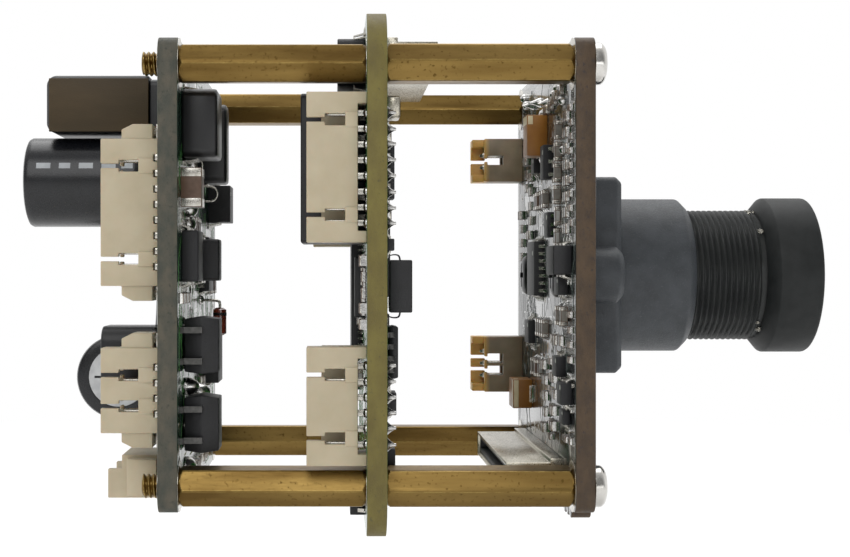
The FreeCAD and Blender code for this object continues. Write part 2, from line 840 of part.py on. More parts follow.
moulded_parts = {
    "power_inductor": dict(side=rear_front, edge=5.8, z=12.4, across=5.6, up=5.6, tall=2.9, round=0.5),
    "second_inductor": dict(side=rear_front, y=-3.65, z=11.6, across=3.5, up=7.0, tall=2.9, round=0.5),
    "regulator": dict(side=rear_front, edge=5.2, z=1.55, across=4.4, up=4.2, tall=1.4, round=0.15),
    "controller": dict(side=rear_front, y=-7.0, z=1.3, across=3.0, up=3.6, tall=2.5, round=0.2),
    "network_transformer": dict(side=middle_rear, edge=8.4, z=8.7, across=6.6, up=12.2, tall=5.3, round=0.3),
    "main_processor": dict(side=middle_rear, y=3.0, z=-1.2, across=12.0, up=12.0, tall=1.0, round=0.1),
    "memory_chip": dict(side=middle_rear, y=3.0, z=13.0, across=8.0, up=7.5, tall=1.1, round=0.1),
    "network_chip": dict(side=middle_rear, edge=8.4, z=-1.0, across=5.0, up=5.0, tall=0.85, round=0.1),
    "serial_port_driver": dict(side=middle_rear, stud=7.0, z=17.6, across=8.0, up=3.9, tall=2.3, round=0.3),
    "crystal_can": dict(side=middle_front, edge=4.8, z=13.5, across=3.0, up=1.8, tall=1.15, round=0.25),
    "surge_diode": dict(side=middle_front, edge=3.6, z=-0.9, across=2.6, up=4.2, tall=1.8, round=0.12,
                        lift=0.25),
    "sensor_supply_chip": dict(side=sensor_rear, edge=4.1, z=1.2, across=4.2, up=2.4, tall=1.5, round=0.12),
}

tantalum_parts = [
    dict(side=sensor_rear, y=-1.6, z=12.55, across=2.8, up=3.7, tall=1.85),
    dict(side=sensor_rear, y=9.35, z=-11.5, across=3.5, up=2.8, tall=1.85),
]

# Flat black packages, by board side
rear_board_packages = [
    dict(side=rear_front, y=3.0, z=1.0, across=5.0, up=5.0, tall=0.9),
    dict(side=rear_front, y=6.5, z=-8.0, across=5.0, up=4.4, tall=1.5),
    dict(side=rear_front, y=12.0, z=7.0, across=4.3, up=3.6, tall=2.2),
    dict(side=rear_front, y=-6.5, z=-6.5, across=3.0, up=2.6, tall=1.1),
]
middle_board_packages = [
    dict(side=middle_rear, stud=5.0, z=-17.9, across=3.0, up=4.0, tall=1.25),
    dict(side=middle_front, edge=5.4, z=-10.4, across=3.0, up=1.8, tall=0.85),
    dict(side=middle_front, stud=3.5, z=-15.05, across=2.8, up=1.6, tall=0.85),
    dict(side=middle_front, edge=6.5, z=8.5, across=2.6, up=4.6, tall=0.75),
    dict(side=middle_front, edge=2.4, z=2.4, across=1.6, up=0.95, tall=0.6),
    dict(side=middle_front, y=2.0, z=2.0, across=8.0, up=8.0, tall=0.9),
    dict(side=middle_front, y=11.0, z=-6.0, across=5.0, up=4.4, tall=1.2),
]
sensor_board_packages = [
    dict(side=sensor_rear, edge=5.4, z=-0.9, across=2.6, up=1.5, tall=0.8),
    dict(side=sensor_rear, y=-5.6, z=9.9, across=2.0, up=3.0, tall=0.9),
    dict(side=sensor_rear, y=3.0, z=10.2, across=1.8, up=1.4, tall=0.6),
    dict(side=sensor_rear, edge=6.4, z=-7.6, across=2.4, up=1.7, tall=0.8),
    dict(side=sensor_rear, edge=3.2, z=-9.6, across=2.4, up=1.8, tall=0.9),
    dict(side=sensor_rear, edge=4.0, z=-11.6, across=2.2, up=1.2, tall=0.6),
    dict(side=sensor_rear, y=6.6, z=-5.4, across=2.8, up=2.2, tall=0.7),
    dict(side=sensor_rear, y=2.0, z=0.6, across=5.0, up=5.0, tall=0.9),
    dict(side=sensor_rear, y=-6.0, z=4.4, across=2.2, up=2.2, tall=0.6),
]

# Chip resistors and capacitors: length, width and height of each size
chip_sizes = {"tiny": (1.0, 0.5, 0.4), "small": (1.6, 0.8, 0.6), "large": (2.0, 1.25, 0.9),
              "broad": (3.2, 2.5, 1.7)}

# Each row starts at y (or edge) and z and steps by step_y, step_z. Chips lie along Y, or along Z
# where upright.
rear_chip_rows = [
    dict(side=rear_front, edge=3.7, z=7.1, step_y=0, step_z=0, count=1, size="broad", upright=True),
    dict(side=rear_front, edge=1.6, z=-1.9, step_y=2.4, step_z=0, count=3, size="small", upright=False),
    dict(side=rear_front, edge=10.0, z=9.4, step_y=0, step_z=1.5, count=4, size="small", upright=False),
    dict(side=rear_front, y=-9.2, z=4.2, step_y=1.6, step_z=0, count=5, size="small", upright=True),
    dict(side=rear_front, edge=9.6, z=-9.4, step_y=0, step_z=-1.4, count=4, size="small", upright=False),
    dict(side=rear_front, y=-1.0, z=-5.4, step_y=0, step_z=-1.4, count=6, size="small", upright=False),
    dict(side=rear_front, y=9.6, z=12.4, step_y=1.7, step_z=0, count=4, size="large", upright=True),
    dict(side=rear_front, y=8.4, z=-1.0, step_y=1.6, step_z=0, count=5, size="small", upright=True),
    dict(side=rear_front, y=1.0, z=15.0, step_y=2.6, step_z=0, count=3, size="large", upright=False),
    dict(side=rear_front, y=-8.0, z=-16.6, step_y=2.6, step_z=0, count=7, size="small", upright=False),
]
middle_rear_chip_rows = [
    dict(side=middle_rear, edge=1.4, z=1.1, step_y=0, step_z=-1.25, count=5, size="small", upright=False),
    dict(side=middle_rear, edge=4.1, z=1.4, step_y=0, step_z=-1.1, count=5, size="tiny", upright=False),
    dict(side=middle_rear, edge=12.8, z=0.9, step_y=0, step_z=-1.2, count=5, size="small", upright=False),
    dict(side=middle_rear, y=-6.2, z=9.4, step_y=1.3, step_z=0, count=4, size="small", upright=True),
    dict(side=middle_rear, y=-3.0, z=-9.2, step_y=1.3, step_z=0, count=9, size="small", upright=True),
    dict(side=middle_rear, y=11.4, z=-4.4, step_y=0, step_z=-1.3, count=6, size="small", upright=False),
    dict(side=middle_rear, y=-8.0, z=-19.4, step_y=2.4, step_z=0, count=8, size="small", upright=False),
]
middle_front_chip_rows = [
    dict(side=middle_front, edge=9.0, z=5.0, step_y=0, step_z=1.3, count=6, size="small", upright=False),
    dict(side=middle_front, edge=11.6, z=14.0, step_y=1.4, step_z=0, count=9, size="small", upright=True),
    dict(side=middle_front, edge=12.0, z=-2.4, step_y=0, step_z=-1.4, count=7, size="small", upright=False),
    dict(side=middle_front, y=-4.6, z=-5.0, step_y=1.5, step_z=0, count=7, size="small", upright=True),
    dict(side=middle_front, y=9.6, z=6.4, step_y=0, step_z=-1.4, count=6, size="small", upright=False),
]
sensor_chip_rows = [
    dict(side=sensor_rear, edge=1.4, z=13.4, step_y=0, step_z=-1.15, count=9, size="tiny", upright=False),
    dict(side=sensor_rear, edge=3.4, z=12.9, step_y=0, step_z=-1.3, count=8, size="small", upright=False),
    dict(side=sensor_rear, edge=6.4, z=15.4, step_y=1.9, step_z=-0.2, count=5, size="small", upright=False),
    dict(side=sensor_rear, edge=7.4, z=12.2, step_y=0.3, step_z=-1.8, count=6, size="small", upright=True),
    dict(side=sensor_rear, edge=10.0, z=13.4, step_y=0, step_z=-1.3, count=5, size="tiny", upright=False),
    dict(side=sensor_rear, edge=1.5, z=-3.2, step_y=0, step_z=-1.2, count=4, size="tiny", upright=False),
    dict(side=sensor_rear, edge=4.4, z=-3.4, step_y=1.3, step_z=0, count=4, size="small", upright=True),
    dict(side=sensor_rear, edge=6.6, z=-5.5, step_y=1.9, step_z=0, count=3, size="small", upright=False),
    dict(side=sensor_rear, edge=2.0, z=-13.4, step_y=1.5, step_z=0, count=3, size="tiny", upright=False),
    dict(side=sensor_rear, edge=9.6, z=-7.4, step_y=0.2, step_z=-1.4, count=5, size="small", upright=False),
    dict(side=sensor_rear, y=-6.4, z=-7.6, step_y=0, step_z=-1.3, count=6, size="tiny", upright=False),
    dict(side=sensor_rear, y=-3.6, z=6.8, step_y=1.3, step_z=0, count=6, size="small", upright=True),
    dict(side=sensor_rear, y=6.8, z=9.4, step_y=0, step_z=-1.4, count=6, size="small", upright=False),
    dict(side=sensor_rear, y=9.4, z=12.4, step_y=0, step_z=-1.3, count=4, size="small", upright=False),
    dict(side=sensor_rear, y=-3.4, z=-4.8, step_y=1.3, step_z=0, count=5, size="small", upright=True),
    dict(side=sensor_rear, y=-3.2, z=-8.0, step_y=0, step_z=-1.4, count=5, size="small", upright=False),
    dict(side=sensor_rear, y=0.4, z=-8.6, step_y=1.2, step_z=0, count=4, size="small", upright=True),
    dict(side=sensor_rear, y=13.4, z=6.0, step_y=0, step_z=-1.4, count=4, size="small", upright=False),
]


def middle_y(part):
    if "edge" in part:
        return part["side"]["near"] + part["edge"]
    if "stud" in part:
        return part["stud"] - half_pitch
    return part["y"]


def stand_part(part):
    side = part["side"]
    return stand(side["face"], side["direction"], middle_y(part), part["z"], part["across"], part["up"],
                 part["tall"], part.get("lift", 0.0))


def moulded_body(part):
    body = stand_part(part)
    corners = [e for e in body.Edges if abs(e.tangentAt(e.FirstParameter).x) > 0.99]
    return body.makeChamfer(part["round"], corners)


def chips(row):
    length, width, height = chip_sizes[row["size"]]
    across, up = (width, length) if row["upright"] else (length, width)
    side = row["side"]
    places = [(middle_y(row) + i * row["step_y"], row["z"] + i * row["step_z"]) for i in range(row["count"])]
    return [stand(side["face"], side["direction"], y, z, across, up, height) for y, z in places]


def chips_of(rows):
    return [chip for row in rows for chip in chips(row)]


os.makedirs("parts", exist_ok=True)

save("rear_board", [rear_board()])
save("middle_board", [middle_board()])
save("sensor_board", [sensor_board()])

stud_grip = stud_length - board_thickness
screw_grip = sensor_screw_length - board_thickness
save("rear_standoffs", [standoff(rear_board_front, y, z, turn, stud_grip)
                        for (y, z), turn in zip(stud_places(), rear_standoff_turns)])
save("sensor_standoffs", [standoff(middle_board_front, y, z, turn, screw_grip)
                         for (y, z), turn in zip(stud_places(), sensor_standoff_turns)])

save("sensor_board_screws", [pan_screw(sensor_board_front, y, z) for y, z in stud_places()])
save("holder_screws", [holder_screw(side * holder_ear_pitch / 2) for side in (-1, 1)])

save("lens_holder", [lens_holder()])
save("lens_barrel", [lens_barrel()])
save("rear_glass", [glass_element(rear_seat - focus_clearance, rear_seat - rear_element_edge,
                                  rear_element_radius - element_fit, rear_element_curve)])
save("middle_glass", [glass_element(front_seat, middle_land, front_pocket_radius - element_fit,
                                    middle_element_curve)])
save("aperture_stop", [aperture_stop()])
save("front_glass", [glass_element(front_element_rear, front_land, front_pocket_radius - element_fit,
                                   front_element_curve)])
save("retaining_ring", [retaining_ring()])

package_front = sensor_board_front + sensor_package_height
save("image_sensor", [rounded_slab(sensor_board_front, package_front, sensor_package_side,
                                   sensor_package_side, glass_corner)])
save("sensor_glass", [rounded_slab(package_front, package_front + sensor_glass_thickness,
                                   sensor_glass_side, sensor_glass_side, glass_corner)])
save("infrared_filter", [rounded_slab(holder_web_rear - filter_thickness, holder_web_rear, filter_side,
                                      filter_side, glass_corner)])

pin_nodes = {"rear": [], "middle": [], "lens": []}
for name, header in headers.items():
    housing = header_housing(header["pins"], header["height"], header["surface"], header["eared"],
                             header["open"])
    save(name, [place_header(housing, header)])
    group = next(key for key in pin_nodes if key in name)
    for place in pin_places(header["pins"]):
        pin = header_pin(place, header["height"], header["surface"])
        pin_nodes[group].append(place_header(pin, header))
    if header["eared"]:
        pin_nodes[group] += [place_header(nail, header) for nail in header_nails(header["pins"])]
save("rear_header_pins", pin_nodes["rear"])
save("middle_header_pins", pin_nodes["middle"])
save("lens_header_pins", pin_nodes["lens"])
save("pin_solder_joints", [solder_cone(y, z) for y, z in through_pin_places()])

save("upper_capacitor", [upper_capacitor()])
save("lower_capacitor", [lower_capacitor()])
save("transformer_core", [transformer_core()])
save("transformer_base", [transformer_base()])
save("choke", [choke()])
save("bridge_rectifiers", bridge_rectifiers())
save("flash_chip", flash_chip())

for name, part in moulded_parts.items():
    save(name, [moulded_body(part)])
save("tantalum_capacitors", [stand_part(part) for part in tantalum_parts])

upper_ribbon_high_z = upper_ribbon_low_z + upper_ribbon_thickness
save("upper_ribbon_shell", [ribbon_shell(middle_board_front, forward, upper_ribbon_y, upper_ribbon_length,
                                         upper_ribbon_low_z, upper_ribbon_high_z, upper_ribbon_depth)])
save("upper_ribbon_body", [ribbon_body(middle_board_front, forward, upper_ribbon_y, upper_ribbon_length,
                                       upper_ribbon_low_z, upper_ribbon_high_z, upper_ribbon_depth)])
lower_ribbon_low_z = lower_ribbon_high_z - lower_ribbon_thickness
save("lower_ribbon_shell", [ribbon_shell(sensor_board_back, rearward, lower_ribbon_y, lower_ribbon_length,
                                         lower_ribbon_low_z, lower_ribbon_high_z, lower_ribbon_depth)])
save("lower_ribbon_body", [ribbon_body(sensor_board_back, rearward, lower_ribbon_y, lower_ribbon_length,
                                       lower_ribbon_low_z, lower_ribbon_high_z, lower_ribbon_depth)])

save("rear_board_packages", [stand_part(part) for part in rear_board_packages])
save("middle_board_packages", [stand_part(part) for part in middle_board_packages])
save("sensor_board_packages", [stand_part(part) for part in sensor_board_packages])
save("rear_board_chips", chips_of(rear_chip_rows))
save("middle_board_rear_chips", chips_of(middle_rear_chip_rows))
save("middle_board_front_chips", chips_of(middle_front_chip_rows))
save("sensor_board_chips", chips_of(sensor_chip_rows))
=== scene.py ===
import json
import math
import random

import bmesh
import bpy
from mathutils import Matrix, Vector


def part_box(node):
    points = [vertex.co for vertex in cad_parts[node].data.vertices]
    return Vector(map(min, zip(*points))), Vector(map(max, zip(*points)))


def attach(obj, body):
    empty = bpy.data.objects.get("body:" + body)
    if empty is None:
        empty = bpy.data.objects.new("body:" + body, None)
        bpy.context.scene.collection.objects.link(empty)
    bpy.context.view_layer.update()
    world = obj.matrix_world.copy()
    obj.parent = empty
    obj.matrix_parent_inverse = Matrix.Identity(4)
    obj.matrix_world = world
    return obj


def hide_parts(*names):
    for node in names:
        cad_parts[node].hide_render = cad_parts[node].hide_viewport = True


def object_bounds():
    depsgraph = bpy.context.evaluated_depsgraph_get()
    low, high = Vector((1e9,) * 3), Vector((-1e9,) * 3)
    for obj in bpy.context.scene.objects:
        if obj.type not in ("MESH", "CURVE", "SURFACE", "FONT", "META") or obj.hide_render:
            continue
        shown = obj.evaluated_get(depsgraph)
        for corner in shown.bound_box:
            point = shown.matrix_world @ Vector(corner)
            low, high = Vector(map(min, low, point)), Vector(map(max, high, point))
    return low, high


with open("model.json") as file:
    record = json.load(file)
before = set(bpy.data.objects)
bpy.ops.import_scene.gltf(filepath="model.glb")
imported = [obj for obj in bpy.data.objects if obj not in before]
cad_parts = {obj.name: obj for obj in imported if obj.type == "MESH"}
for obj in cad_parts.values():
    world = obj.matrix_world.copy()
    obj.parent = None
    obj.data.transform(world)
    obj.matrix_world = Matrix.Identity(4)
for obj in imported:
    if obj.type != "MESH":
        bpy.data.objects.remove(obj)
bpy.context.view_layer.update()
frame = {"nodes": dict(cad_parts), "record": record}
print("frame loaded:", len(frame["nodes"]), "nodes")

mm = 0.001
scene = bpy.context.scene
slotOf = {row["node"]: row["material_slot"] for row in frame["record"]["subparts"]}
bodyOf = {node: body for body, nodes in frame["record"]["behaviour"]["bodies"].items() for node in nodes}


def lengths(**sizes):
    # a dictionary of sizes, or of rows of them, given in millimetres and kept in metres
    return {name: tuple(part * mm for part in size) if isinstance(size, tuple) else size * mm
            for name, size in sizes.items()}


def colour(text):
    # a screen colour such as #b8ac90, as the linear values that the shader takes
    parts = [int(text[i:i + 2], 16) / 255 for i in (1, 3, 5)]
    return (*[v / 12.92 if v <= 0.04045 else ((v + 0.055) / 1.055) ** 2.4 for v in parts], 1.0)


def addNode(tree, kind, inputs=None, operation=None, dataType=None):
    # a shader node whose inputs, by name or number, are linked to a socket or set to a value
    node = tree.nodes.new("ShaderNode" + kind)
    if operation:
        node.operation = operation
    if dataType:
        node.data_type = dataType
    for name, value in (inputs or {}).items():
        if isinstance(value, bpy.types.NodeSocket):
            tree.links.new(value, node.inputs[name])
        else:
            node.inputs[name].default_value = colour(value) if isinstance(value, str) else value
    return node


def combine(tree, operation, first, second, kind="Math"):
    return addNode(tree, kind, {0: first, 1: second}, operation=operation).outputs["Value"]


def cloud(tree, coords, size, detail=4.0, stretch=(1, 1, 1)):
    # soft noise whose blotches are about this size, in metres
    mapping = addNode(tree, "Mapping", {"Scale": stretch, "Vector": coords.outputs["Object"]})
    inputs = {"Scale": 1 / size, "Detail": detail, "Vector": mapping.outputs["Vector"]}
    return addNode(tree, "TexNoise", inputs).outputs["Fac"]


def remap(tree, value, low, high, toLow=0.0, toHigh=1.0):
    inputs = {"Value": value, "From Min": low, "From Max": high, "To Min": toLow, "To Max": toHigh}
    return addNode(tree, "MapRange", inputs).outputs["Result"]


def blendColours(tree, amount, first, second):
    # inputs 6 and 7 of a mix node are its two colours, and output 2 is the result
    return addNode(tree, "Mix", {"Factor": amount, 6: first, 7: second}, dataType="RGBA").outputs[2]


noiseBands = dict(drift=(0.35, 0.65), speck=(0.60, 0.72), edge=(0.90, 0.995), broken=(0.35, 0.6),
                  gloss=(0.3, 0.7))


def finish(name, tones, gloss, blotch=1.5, grain=0.08, depth=0.004, wear=None, speck=None, fade=None,
           stretch=(1, 1, 1), **sockets):
    # Two tones that drift into each other, uneven gloss, a fine grain and, where asked, specks, worn
    # edges and a fade along X into another tone that paints light on one end. Sizes are in millimetres.
    material = bpy.data.materials.new(name)
    material.use_nodes = True
    tree = material.node_tree
    shader = tree.nodes["Principled BSDF"]
    coords = addNode(tree, "TexCoord")
    drift = remap(tree, cloud(tree, coords, blotch * mm, stretch=stretch), *noiseBands["drift"])
    base = blendColours(tree, drift, *tones)
    fine = cloud(tree, coords, grain * mm, detail=2.0, stretch=stretch)
    # the fade along X is painted light: one end of a part turns to a lighter tone as if lit
    if fade:
        start, end, tone = fade
        split = addNode(tree, "SeparateXYZ", {"Vector": coords.outputs["Object"]})
        base = blendColours(tree, remap(tree, split.outputs["X"], start * mm, end * mm), base, tone)
    if speck:
        tone, size = speck
        spots = remap(tree, cloud(tree, coords, size * mm), *noiseBands["speck"])
        base = blendColours(tree, spots, base, tone)
    if wear:
        # the shader's own rounded normal leaves the true one only near an edge
        tone, radius = wear
        rounded = addNode(tree, "Bevel", {"Radius": radius * mm})
        rounded.samples = 4
        true = addNode(tree, "NewGeometry")
        match = combine(tree, "DOT_PRODUCT", rounded.outputs["Normal"], true.outputs["Normal"], "VectorMath")
        near = remap(tree, match, *noiseBands["edge"], 1.0, 0.0)
        broken = combine(tree, "MULTIPLY", near, remap(tree, fine, *noiseBands["broken"]))
        base = blendColours(tree, broken, base, tone)
    bump = addNode(tree, "Bump", {"Distance": depth * mm, "Height": fine})
    tree.links.new(base, shader.inputs["Base Color"])
    tree.links.new(remap(tree, fine, *noiseBands["gloss"], *gloss), shader.inputs["Roughness"])
    tree.links.new(bump.outputs["Normal"], shader.inputs["Normal"])
    for socket, value in sockets.items():
        shader.inputs[socket.replace("_", " ")].default_value = value
    return material


maskLook = dict(gloss=(0.16, 0.26), depth=0.003, Coat_Weight=0.4, Coat_Roughness=0.12)
ceramicLook = dict(gloss=(0.36, 0.5), blotch=0.5, depth=0.008)
looks = {
    # boards: a glossy solder mask on the faces and sawn laminate round the edge
    "rearMask": dict(maskLook, tones=("#1b3327", "#223f2d")),
    "middleMask": dict(maskLook, tones=("#28512a", "#315d2b")),
    "sensorMask": dict(tones=("#222625", "#2d3231"), gloss=(0.14, 0.24), depth=0.003, Coat_Weight=0.5,
                       Coat_Roughness=0.10),
    "rearEdge": dict(tones=("#3a3c33", "#504b3e"), gloss=(0.50, 0.68), blotch=0.9, depth=0.02,
                     speck=("#34352c", 0.35), stretch=(1, 0.6, 0.6)),
    "middleEdge": dict(tones=("#5e5322", "#6e642b"), gloss=(0.50, 0.68), blotch=1.4, depth=0.02,
                       speck=("#544d27", 0.3), stretch=(1, 0.5, 0.5)),
    "sensorEdge": dict(tones=("#3a2b1a", "#493722"), gloss=(0.48, 0.66), blotch=0.8, depth=0.02,
                       speck=("#2f2520", 0.3), stretch=(1, 0.6, 0.6)),
    "traceGreen": dict(tones=("#3f7a3a", "#4b8642"), gloss=(0.15, 0.25), Coat_Weight=0.4),
    "traceDark": dict(tones=("#46504c", "#55605b"), gloss=(0.12, 0.22), Coat_Weight=0.5),
    "silkscreen": dict(tones=("#d9d9d2", "#c9c9c2"), gloss=(0.5, 0.65), depth=0.006),

    # metals
    "brass": dict(tones=("#8a7140", "#634d28"), gloss=(0.28, 0.40), blotch=2.2, grain=0.12,
                  wear=("#cbb26c", 0.10), speck=("#5d4824", 0.3), stretch=(0.15, 1, 1), Metallic=1.0),
    "nickel": dict(tones=("#d8d6d2", "#c4c1bb"), gloss=(0.12, 0.24), depth=0.003, Metallic=1.0),
    "blackSteel": dict(tones=("#17171a", "#222226"), gloss=(0.28, 0.42), wear=("#55555a", 0.1),
                       Metallic=0.6),
    "tin": dict(tones=("#cfccc4", "#b4b0a6"), gloss=(0.18, 0.32), blotch=0.5, Metallic=1.0),
    "dullTin": dict(tones=("#62615f", "#50504e"), gloss=(0.34, 0.5), blotch=0.4, Metallic=1.0),
    "solder": dict(tones=("#d6d5d2", "#b9b8b5"), gloss=(0.10, 0.24), blotch=0.4, depth=0.01, Metallic=1.0),
    "shellMetal": dict(tones=("#c9c4b6", "#b3ad9d"), gloss=(0.22, 0.36), blotch=1.2, wear=("#eeeae0", 0.08),
                       speck=("#8f8878", 0.35), stretch=(1, 0.4, 1), Metallic=1.0),
    "anodised": dict(tones=("#1d1f1f", "#252727"), gloss=(0.46, 0.58), grain=0.06, wear=("#303233", 0.1),
                     Specular_IOR_Level=0.22),
    "threadBlack": dict(tones=("#232525", "#2a2c2b"), gloss=(0.46, 0.60), grain=0.06,
                        Specular_IOR_Level=0.35),
    "canMetal": dict(tones=("#c7c8c8", "#b3b4b5"), gloss=(0.28, 0.42), blotch=1.0, Metallic=1.0),

    # plastics and ceramics
    "ivoryNylon": dict(tones=("#b9ad93", "#b1a489"), gloss=(0.40, 0.54), blotch=2.5, depth=0.006,
                       wear=("#c6bca4", 0.06), Subsurface_Weight=0.15, Subsurface_Scale=0.6 * mm),
    # amber headers: ivory nylon, a little more amber and darkened with painted shade; the fade to a lighter
    # tone at their outer ends is painted light
    "shadedAmberNylon": dict(tones=("#8b7b62", "#7d6e57"), gloss=(0.38, 0.52), depth=0.006, wear=("#b39b70", 0.06),
                       fade=(29.9, 29.3, "#d2a854"), Subsurface_Weight=0.3, Subsurface_Scale=1.0 * mm),
    "holderPlastic": dict(tones=("#383c40", "#2b2f33"), gloss=(0.42, 0.58), grain=0.14, depth=0.03,
                          speck=("#42464b", 0.12), wear=("#464a4f", 0.15)),
    "blackMoulding": dict(tones=("#131315", "#1a1a1d"), gloss=(0.44, 0.60), grain=0.10, depth=0.012,
                          wear=("#2c2c31", 0.06)),
    "glossyBlack": dict(tones=("#0b0b0d", "#121214"), gloss=(0.34, 0.46), grain=0.10, depth=0.006,
                        wear=("#29292e", 0.06), Coat_Weight=0.05),
    "sleeve": dict(tones=("#0e0f12", "#14161a"), gloss=(0.24, 0.34), blotch=2.0, depth=0.005,
                   Coat_Weight=0.15, Coat_Roughness=0.2, Specular_IOR_Level=0.4),
    "sleeveMark": dict(tones=("#a9adb0", "#989ca0"), gloss=(0.30, 0.42), depth=0.005),
    "rubber": dict(tones=("#1b1b1b", "#262524"), gloss=(0.6, 0.75), depth=0.01),
    "brownCore": dict(tones=("#3d3220", "#473a26"), gloss=(0.40, 0.54), blotch=2.2, depth=0.01,
                      stretch=(0.3, 1, 1), Specular_IOR_Level=0.25),
    "tantalumCase": dict(tones=("#96631f", "#875618"), gloss=(0.32, 0.46), depth=0.008,
                         wear=("#ab7c45", 0.06)),
    "creamMark": dict(tones=("#dccfae", "#cfc09a"), gloss=(0.38, 0.5), depth=0.006),
    "brownCeramic": dict(ceramicLook, tones=("#5f4838", "#533d2d"), gloss=(0.34, 0.48)),
    "greyCeramic": dict(ceramicLook, tones=("#77736a", "#67635b")),
    "whiteCeramic": dict(ceramicLook, tones=("#a9a8a3", "#9a9994")),
    "filmBlack": dict(tones=("#17171a", "#212125"), gloss=(0.22, 0.34), blotch=0.5, depth=0.005),

    # glass and glue
    "redGlass": dict(tones=("#8e3b2c", "#74301f"), gloss=(0.05, 0.12), blotch=0.8, Coat_Weight=0.8,
                     Transmission_Weight=0.35, IOR=1.5),
    "lensGlass": dict(tones=("#e8f2f2", "#dfecee"), gloss=(0.01, 0.03), depth=0.0, Transmission_Weight=1.0,
                      IOR=1.62, Coat_Weight=0.6, Coat_Roughness=0.02, Coat_Tint=(0.55, 0.75, 0.62, 1.0)),
    "filterGlass": dict(tones=("#bfe0df", "#cbe6e4"), gloss=(0.02, 0.04), depth=0.0,
                        Transmission_Weight=1.0, IOR=1.52),
    "sensorFace": dict(tones=("#32344a", "#3f3f58"), gloss=(0.12, 0.2), blotch=3, Metallic=0.7),
    "clearGlue": dict(tones=("#d9d6cc", "#cfcabd"), gloss=(0.06, 0.12), Transmission_Weight=0.8, IOR=1.48),
}
finishes = {name: finish(name, **look) for name, look in looks.items()}
print("finishes ready:", len(finishes))


def middle(low, high):
    return [(a + b) / 2 for a, b in zip(low, high)]


def extent(points):
    # the lowest and the highest corner of some points
    return [Vector([pick(p[i] for p in points) for i in range(3)]) for pick in (min, max)]


def islands(bm):
    # the vertices of each separate solid of a mesh
    seen, groups = set(), []
    for start in bm.verts:
        if start in seen:
            continue
        stack, group = [start], []
        seen.add(start)
        while stack:
            vert = stack.pop()
            group.append(vert)
            for edge in vert.link_edges:
                other = edge.other_vert(vert)
                if other not in seen:
                    seen.add(other)
                    stack.append(other)
        groups.append(group)
    return groups


def fromNode(node):
    bm = bmesh.new()
    bm.from_mesh(frame["nodes"][node].data)
    bmesh.ops.remove_doubles(bm, verts=bm.verts, dist=0.001 * mm)
    return bm


def looseParts(node):
    # the separate solids of a node: the lowest and highest corner and the points of each
    bm = fromNode(node)
    parts = []
    for group in islands(bm):
        points = [vert.co.copy() for vert in group]
        parts.append((*extent(points), points))
    bm.free()
    parts.sort(key=lambda part: [round(v * 1e5) for v in (*part[0], *part[1])])
    return parts


def linkObject(name, data):
    made = bpy.data.objects.new(name, data)
    scene.collection.objects.link(made)
    return made


def meshFrom(bm, name):
    mesh = bpy.data.meshes.new(name)
    bm.to_mesh(mesh)
    bm.free()
    return mesh


def joinInto(bm, part):
    # adds one mesh to another and frees the first
    mesh = meshFrom(part, "spare")
    bm.from_mesh(mesh)
    bpy.data.meshes.remove(mesh)


def paint(made, material):
    # gives the faces round some new vertices their material
    for face in {face for vert in made for face in vert.link_faces}:
        face.material_index = material


def addBlock(bm, low, high, material=0, chamfer=0.0):
    # a box whose edges are cut back, all in one material
    size = Vector(high) - Vector(low)
    matrix = Matrix.Translation((Vector(low) + Vector(high)) / 2) @ Matrix.Diagonal((*size, 1.0))
    made = bmesh.ops.create_cube(bm, size=1.0, matrix=matrix)["verts"]
    edges = list({edge for vert in made for edge in vert.link_edges})
    paint(made, material)
    if chamfer > 0:
        bmesh.ops.bevel(bm, geom=edges + made, offset=min(chamfer, 0.45 * min(size)), segments=2,
                        profile=0.6, affect="EDGES", clamp_overlap=True)


def addBead(bm, centre, size, material=0, rings=6, count=12):
    # a drop of solder or glue: size is its half-width along X, Y and Z
    matrix = Matrix.Translation(centre) @ Matrix.Diagonal((*size, 1.0))
    made = bmesh.ops.create_uvsphere(bm, u_segments=count, v_segments=rings, radius=1.0, matrix=matrix)
    paint(made["verts"], material)


def addPrism(bm, outline, push, material=0):
    # an outline of points, pushed along a vector into a closed solid
    near = [bm.verts.new(Vector(p)) for p in outline]
    far = [bm.verts.new(Vector(p) + Vector(push)) for p in outline]
    sides = zip(near, far, far[1:] + far[:1], near[1:] + near[:1])
    for corners in [near, far[::-1], *sides]:
        bm.faces.new(corners).material_index = material


def addTurned(bm, rings, centre, along="x", count=48, material=0, closed=False):
    # Rings of (distance along the axis, radius), where a radius may depend on the angle. material is
    # an index, or a function of the ring and the step round it. closed joins the last ring to the first.
    def place(distance, radius, angle):
        u, v = radius * math.cos(angle), radius * math.sin(angle)
        turned = {"x": (distance, u, v), "y": (v, distance, u), "z": (u, v, distance)}[along]
        return Vector(centre) + Vector(turned)

    loops = []
    for distance, radius in rings:
        if not callable(radius) and radius == 0:
            loops.append([bm.verts.new(place(distance, 0, 0))])
        else:
            angles = [2 * math.pi * i / count for i in range(count)]
            loops.append([bm.verts.new(place(distance, radius(a) if callable(radius) else radius, a))
                          for a in angles])
    pairs = list(zip(loops, loops[1:])) + ([(loops[-1], loops[0])] if closed else [])
    for k, (one, two) in enumerate(pairs):
        for i in range(count):
            j = (i + 1) % count
            corners = [one[i % len(one)], one[j % len(one)], two[j % len(two)], two[i % len(two)]]
            corners = [c for n, c in enumerate(corners) if c not in corners[:n]]
            if len(corners) > 2:
                face = bm.faces.new(corners)
                face.material_index = material(k, i) if callable(material) else material


def smoothPath(points, steps=8):
    # a curve through the given points
    points = [Vector(p) for p in points]
    padded = [2 * points[0] - points[1]] + points + [2 * points[-1] - points[-2]]
    path = []
    for i in range(1, len(padded) - 2):
        a, b, c, d = padded[i - 1:i + 3]
        for k in range(steps):
            t = k / steps
            path.append(0.5 * (2 * b + (c - a) * t + (2 * a - 5 * b + 4 * c - d) * t ** 2
                               + (3 * b - a - 3 * c + d) * t ** 3))
    return path + [points[-1]]


